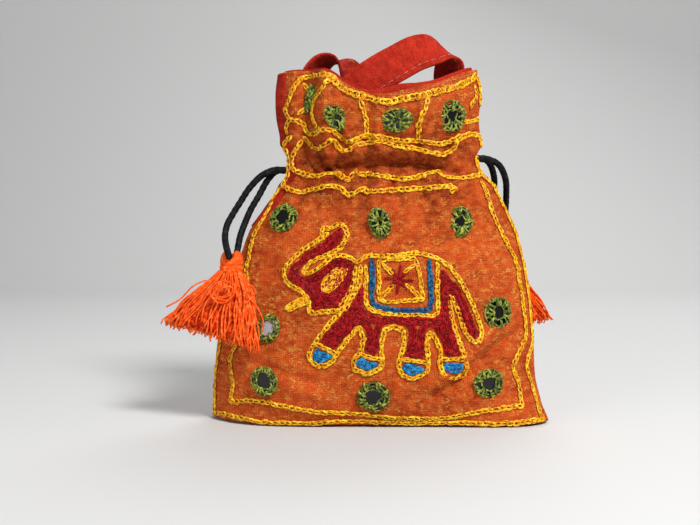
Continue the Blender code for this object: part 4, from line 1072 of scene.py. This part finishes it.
FILLING_SIZE = (2.2, 2.6, 0.44)
embroider(
    "elephant_red_stitches", filled((HEAD, BODY), 1.5, 3.5, 8), FILLING_SIZE, red_thread, "red_thread",
    "elephant_head", "elephant_body",
)
embroider(
    "elephant_foot_stitches", filled(FEET, 1.5, 3.0, 4), (1.8, 1.9, 0.38), foot_thread,
    "foot_blue_thread", *(f"elephant_foot_{k}" for k in range(1, 5)),
)
embroider(
    "elephant_ear_stitches", filled((EAR,), 1.0, 2.5, 6) + filled((TUSK,), 1.6, 3.2, 3), FILLING_SIZE,
    yellow_thread, "yellow_thread", "elephant_ear", "elephant_tusk",
)
ELEPHANT_LINES = (
    (
        (343, 310.5), (330, 311.5), (320, 312.5), (311, 314), (308.5, 309), (309.5, 304), (306, 297),
        (300, 290.5), (293, 287), (286.5, 281), (284.5, 274), (287, 266), (296, 256), (308, 246.5),
        (320, 239), (327, 234),
    ),
    (
        (323, 238), (321, 232), (325, 227), (330, 230), (333, 227), (338, 225), (343.5, 226.5), (347, 234),
        (344.5, 243), (337, 250.5), (325, 256), (312, 261.5), (306, 267), (303, 273), (308, 274),
        (316, 270.5), (325, 263), (331, 257.5), (338, 255), (347, 256.5), (356, 261.5),
    ),
    (
        (357, 263), (364, 257), (373, 256), (383, 256.5), (400, 255), (412, 253.5), (426, 255), (437, 258),
        (449, 267), (460, 281), (469, 297), (476, 313), (482, 333), (480.5, 342), (474, 342.5), (466, 334),
        (461.5, 322), (457, 309), (452.5, 298),
    ),
    (
        (449.8, 296), (450.5, 308), (452.5, 320), (456, 333), (460, 343), (464.5, 355), (467, 366),
        (464, 376), (453, 379), (443, 375.5), (440.5, 363), (441.5, 354), (437.5, 343), (431, 332),
        (428.5, 336),
        (427, 347), (429, 361), (428, 373), (414, 380), (401, 375), (398.5, 365), (402.5, 352), (405, 340),
        (403, 330), (394, 326.5), (385, 330), (382, 341), (381.5, 354), (383, 367), (368, 375), (354, 369),
        (352.5, 361), (361.5, 352), (363, 341), (361, 329.5), (357, 327), (349, 338), (342, 347), (336, 356),
        (332, 364), (319, 367), (309, 360), (310.5, 350), (318, 339), (328, 326), (338, 315), (343, 309),
    ),
    ((360.5, 266), (360, 278), (358, 287), (352, 298), (346, 309)),
    ((355.5, 268), (354, 279.5), (351, 290), (346, 298), (341, 306)),
    ((317, 345), (326, 349), (335, 354)),
    ((360, 353.5), (370, 358), (381, 360)),
    ((403, 360), (415, 361.5), (427, 363)),
    ((442, 360.5), (453, 360), (464, 360)),
)
SADDLE_LINES = (
    (
        (366, 266), (366, 290), (366.5, 304), (371, 310), (377, 312.5), (394, 314.6), (420, 315), (437, 315),
        (437.5, 300), (437.5, 285), (437, 264),
    ),
    ((378.5, 261), (379, 280), (380.5, 300), (398, 301.5), (422.5, 299.5)),
    ((415.5, 260), (420, 276), (423, 298)),
    ((382, 264), (392, 273)),
    ((414, 265), (405, 272)),
    ((382, 297), (392, 286)),
    ((419, 296), (407, 285)),
    ((381, 260), (398, 259.5), (414, 259)),
)
SADDLE_BAND = (
    (372, 261), (372, 280), (372, 300), (376, 306), (390, 309.5), (407, 311), (425, 310.5), (430.5, 307),
    (430.5, 285), (428.5, 262),
)
embroider(
    "elephant_outline_stitches", ELEPHANT_LINES, (3.1, 2.8, 0.45), yellow_thread, "yellow_thread",
    "elephant_trunk_line", "elephant_back_line", "elephant_leg_line", "elephant_head_line",
)
embroider(
    "saddle_yellow_stitches", SADDLE_LINES, (2.8, 2.7, 0.44), yellow_thread, "yellow_thread",
    "saddle_border", "saddle_square",
)
embroider(
    "saddle_blue_stitches", (SADDLE_BAND,), (3.1, 2.3, 0.52), saddle_thread, "saddle_blue_thread",
    "saddle_band",
)
STAR = np.array((399, 279.5))
rays = []
for ray in range(8):
    turn = ray * np.pi / 4 + 0.12
    way = np.array((np.cos(turn), np.sin(turn)))
    rays.append((STAR + 2 * way, STAR + (13 if ray % 2 == 0 else 11) * way))
embroider("saddle_star_stitches", rays, (1.7, 2.2, 0.38), red_thread, "red_thread", "saddle_star")

# The mirrors: hand-cut rounds of thin glass, silvered behind. Their tint is a painted reflection: near
# # black on most, and pale blue-grey on the eighth for the sky. A net of green buttonhole stitch laps over
# # each edge and holds it on the cloth.
# The green thread's light colour goes on as painted highlights and its dark colour partly as painted shade.
GREEN_DARK, GREEN, GREEN_LIGHT = (0.022, 0.034, 0.003), (0.12, 0.17, 0.015), (0.46, 0.50, 0.07)
green_thread = thread_finish("green buttonhole thread", GREEN_DARK, GREEN, GREEN_LIGHT, 700.0, 0.5)


def mirror_finish(name, tint, roughness, metal):
    """Silvered glass: a metal of that tint under a clear coat."""
    return new_finish(name, {
        "Base Color": tint, "Metallic": metal, "Roughness": roughness, "Coat Weight": 0.15,
        "Coat Roughness": 0.04,
    })


# Painted reflections: a near-black tint that paints a dark reflection, and a pale blue-grey tint on the
# eighth mirror that paints a reflection of the sky.
mirror_painted_dark_reflection = mirror_finish("mirror glass with painted dark reflection", (0.035, 0.035, 0.037), 0.2, 1.0)
mirror_painted_sky_reflection = mirror_finish("mirror glass with painted sky reflection", (0.50, 0.56, 0.64), 0.35, 0.3)
# Point of the view, half width, half height, roll in degrees, share of the radius left open
MIRRORS = (
    (284, 218, 7.4, 7.4, 0, 0.50), (379.5, 222.7, 5.3, 7.5, 14, 0.30), (460, 222, 6.2, 7.4, 0, 0.42),
    (498, 313, 8.0, 7.8, 0, 0.48), (489, 384, 8.2, 6.8, 0, 0.50), (373.7, 397.5, 8.2, 7.6, 0, 0.56),
    (264, 382, 7.4, 7.5, 0, 0.58), (268, 329, 6.2, 6.9, -10, 0.62), (311, 100, 3.2, 7.6, -24, 0.2),
    (337, 119, 8.2, 5.2, -32, 0.36), (396, 121, 8.2, 5.5, 8, 0.30), (451, 117, 6.9, 8.0, -24, 0.46),
)


def rosette(pixel, wide, tall, roll, window):
    """One mirror's stitches and its glass, laid in the plane of the cloth under it: a place is so far
    out as a share of the radius, round by an angle, and up from the cloth."""
    place, normal = on_front(pixel)
    place, normal = place[0], normal[0]
    right = unit(np.cross((0, 0, 1), normal))
    top = np.cross(normal, right)
    roll = np.radians(roll)

    def at(share, angle, height):
        x, y = share * np.cos(angle) * wide, share * np.sin(angle) * tall
        x, y = x * np.cos(roll) - y * np.sin(roll), x * np.sin(roll) + y * np.cos(roll)
        return place + x[..., None] * right + y[..., None] * top + height[..., None] * normal

    count = 18
    angle = np.linspace(0, 2 * np.pi, count, endpoint=False)[:, None]
    angle = angle + chance.normal(0, 0.1, (count, 1))
    inner = window + chance.normal(0, 0.07, (count, 1))
    run = np.linspace(0, 1, 8)
    outer = 1.0 + chance.normal(0, 0.05, (count, 1))
    share = outer + (inner - outer) * run
    height = 0.55 + 1.25 * np.sin(run * np.pi * 0.82 + 0.1) + chance.uniform(-0.15, 0.25, (count, 1))
    slant = chance.normal(0, 0.3, (count, 1)) * run
    radial = tubes(at(share, angle + slant, height), chance.uniform(0.42, 0.74, (count, 1)), 5, normal)
    turn = np.linspace(0, 2 * np.pi, 40, endpoint=False)
    loops = []
    for level, uneven, rise, radius in (
        (window, 0.09, 1.1, 0.5), (0.8, 0.08, 0.7, 0.5), (0.98, 0.04, 0.45, 0.45),
    ):
        corners = chance.normal(0, uneven, 10)
        wave = np.interp(turn, np.linspace(0, 2 * np.pi, 11), np.append(corners, corners[0]))
        bumps = 0.2 * np.sin(turn * 13 + level * 40)
        loops.append(tubes(at(level + wave, turn, rise + bumps)[None], radius, 5, normal, closed=True))
    sides = 32
    edge = np.linspace(0, 2 * np.pi, sides, endpoint=False)
    disc = np.concatenate([at(0.84, edge, np.full(sides, height)) for height in (0.15, 0.8)])
    return joined([radial, *loops]), (disc, tube_faces(2, sides))


for number, (u, v, wide, tall, roll, window) in enumerate(MIRRORS, start=1):
    stitches, disc = rosette((u, v), wide, tall, roll, window)
    piece = put_mesh(f"mirror_{number:02d}_stitches", *stitches, green_thread)
    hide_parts(f"mirror_ring_{number:02d}")
    piece = put_mesh(f"mirror_{number:02d}_glass", *disc, mirror_painted_sky_reflection if number == 8 else mirror_painted_dark_reflection)
    piece.data.shade_flat()
    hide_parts(f"mirror_{number:02d}")

# The stage: a pale floor that curves up into a wall, a bright lamp from the right, the front and above,
# a large weak one from the left, one from behind, and an even pale sky.
FLOOR_LEVEL, WALL_FOOT, BEND_RADIUS = -0.6, 900, 500
wide = np.linspace(-4000, 4000, 3)
bend = np.linspace(0, np.pi / 2, 14)
curve = zip(WALL_FOOT + BEND_RADIUS * np.sin(bend), FLOOR_LEVEL + BEND_RADIUS * (1 - np.cos(bend)))
profile = [(-3000, FLOOR_LEVEL), (WALL_FOOT, FLOOR_LEVEL), *curve, (WALL_FOOT + BEND_RADIUS, 4000)]
points = np.array([[(x, y, z) for x in wide] for y, z in profile]).reshape(-1, 3)
pale = new_finish("pale floor", {"Base Color": (0.62, 0.62, 0.61), "Roughness": 0.9})
floor = put_mesh("floor", points, grid_faces(len(profile), len(wide)).tolist(), pale)

AIM = Vector((0, 0, 0.09))
for name, place, size, power in (
    ("key", (0.55, -0.9, 1.0), 0.35, 23.0), ("fill", (-1.1, -1.0, 0.4), 0.9, 6.0),
    ("back", (0.3, 0.9, 1.0), 0.9, 7.0),
):
    lamp = bpy.data.lights.new(name, "AREA")
    lamp.size = size
    lamp.energy = power
    holder = bpy.data.objects.new(name, lamp)
    holder.location = place
    holder.rotation_euler = (AIM - Vector(place)).to_track_quat("-Z", "Y").to_euler()
    bpy.context.scene.collection.objects.link(holder)
world = bpy.data.worlds.new("sky")
world.use_nodes = True
set_inputs(world.node_tree.nodes["Background"], {"Color": (0.9, 0.92, 0.95), "Strength": 0.3})
bpy.context.scene.world = world
bpy.context.scene.view_settings.view_transform = "Standard"
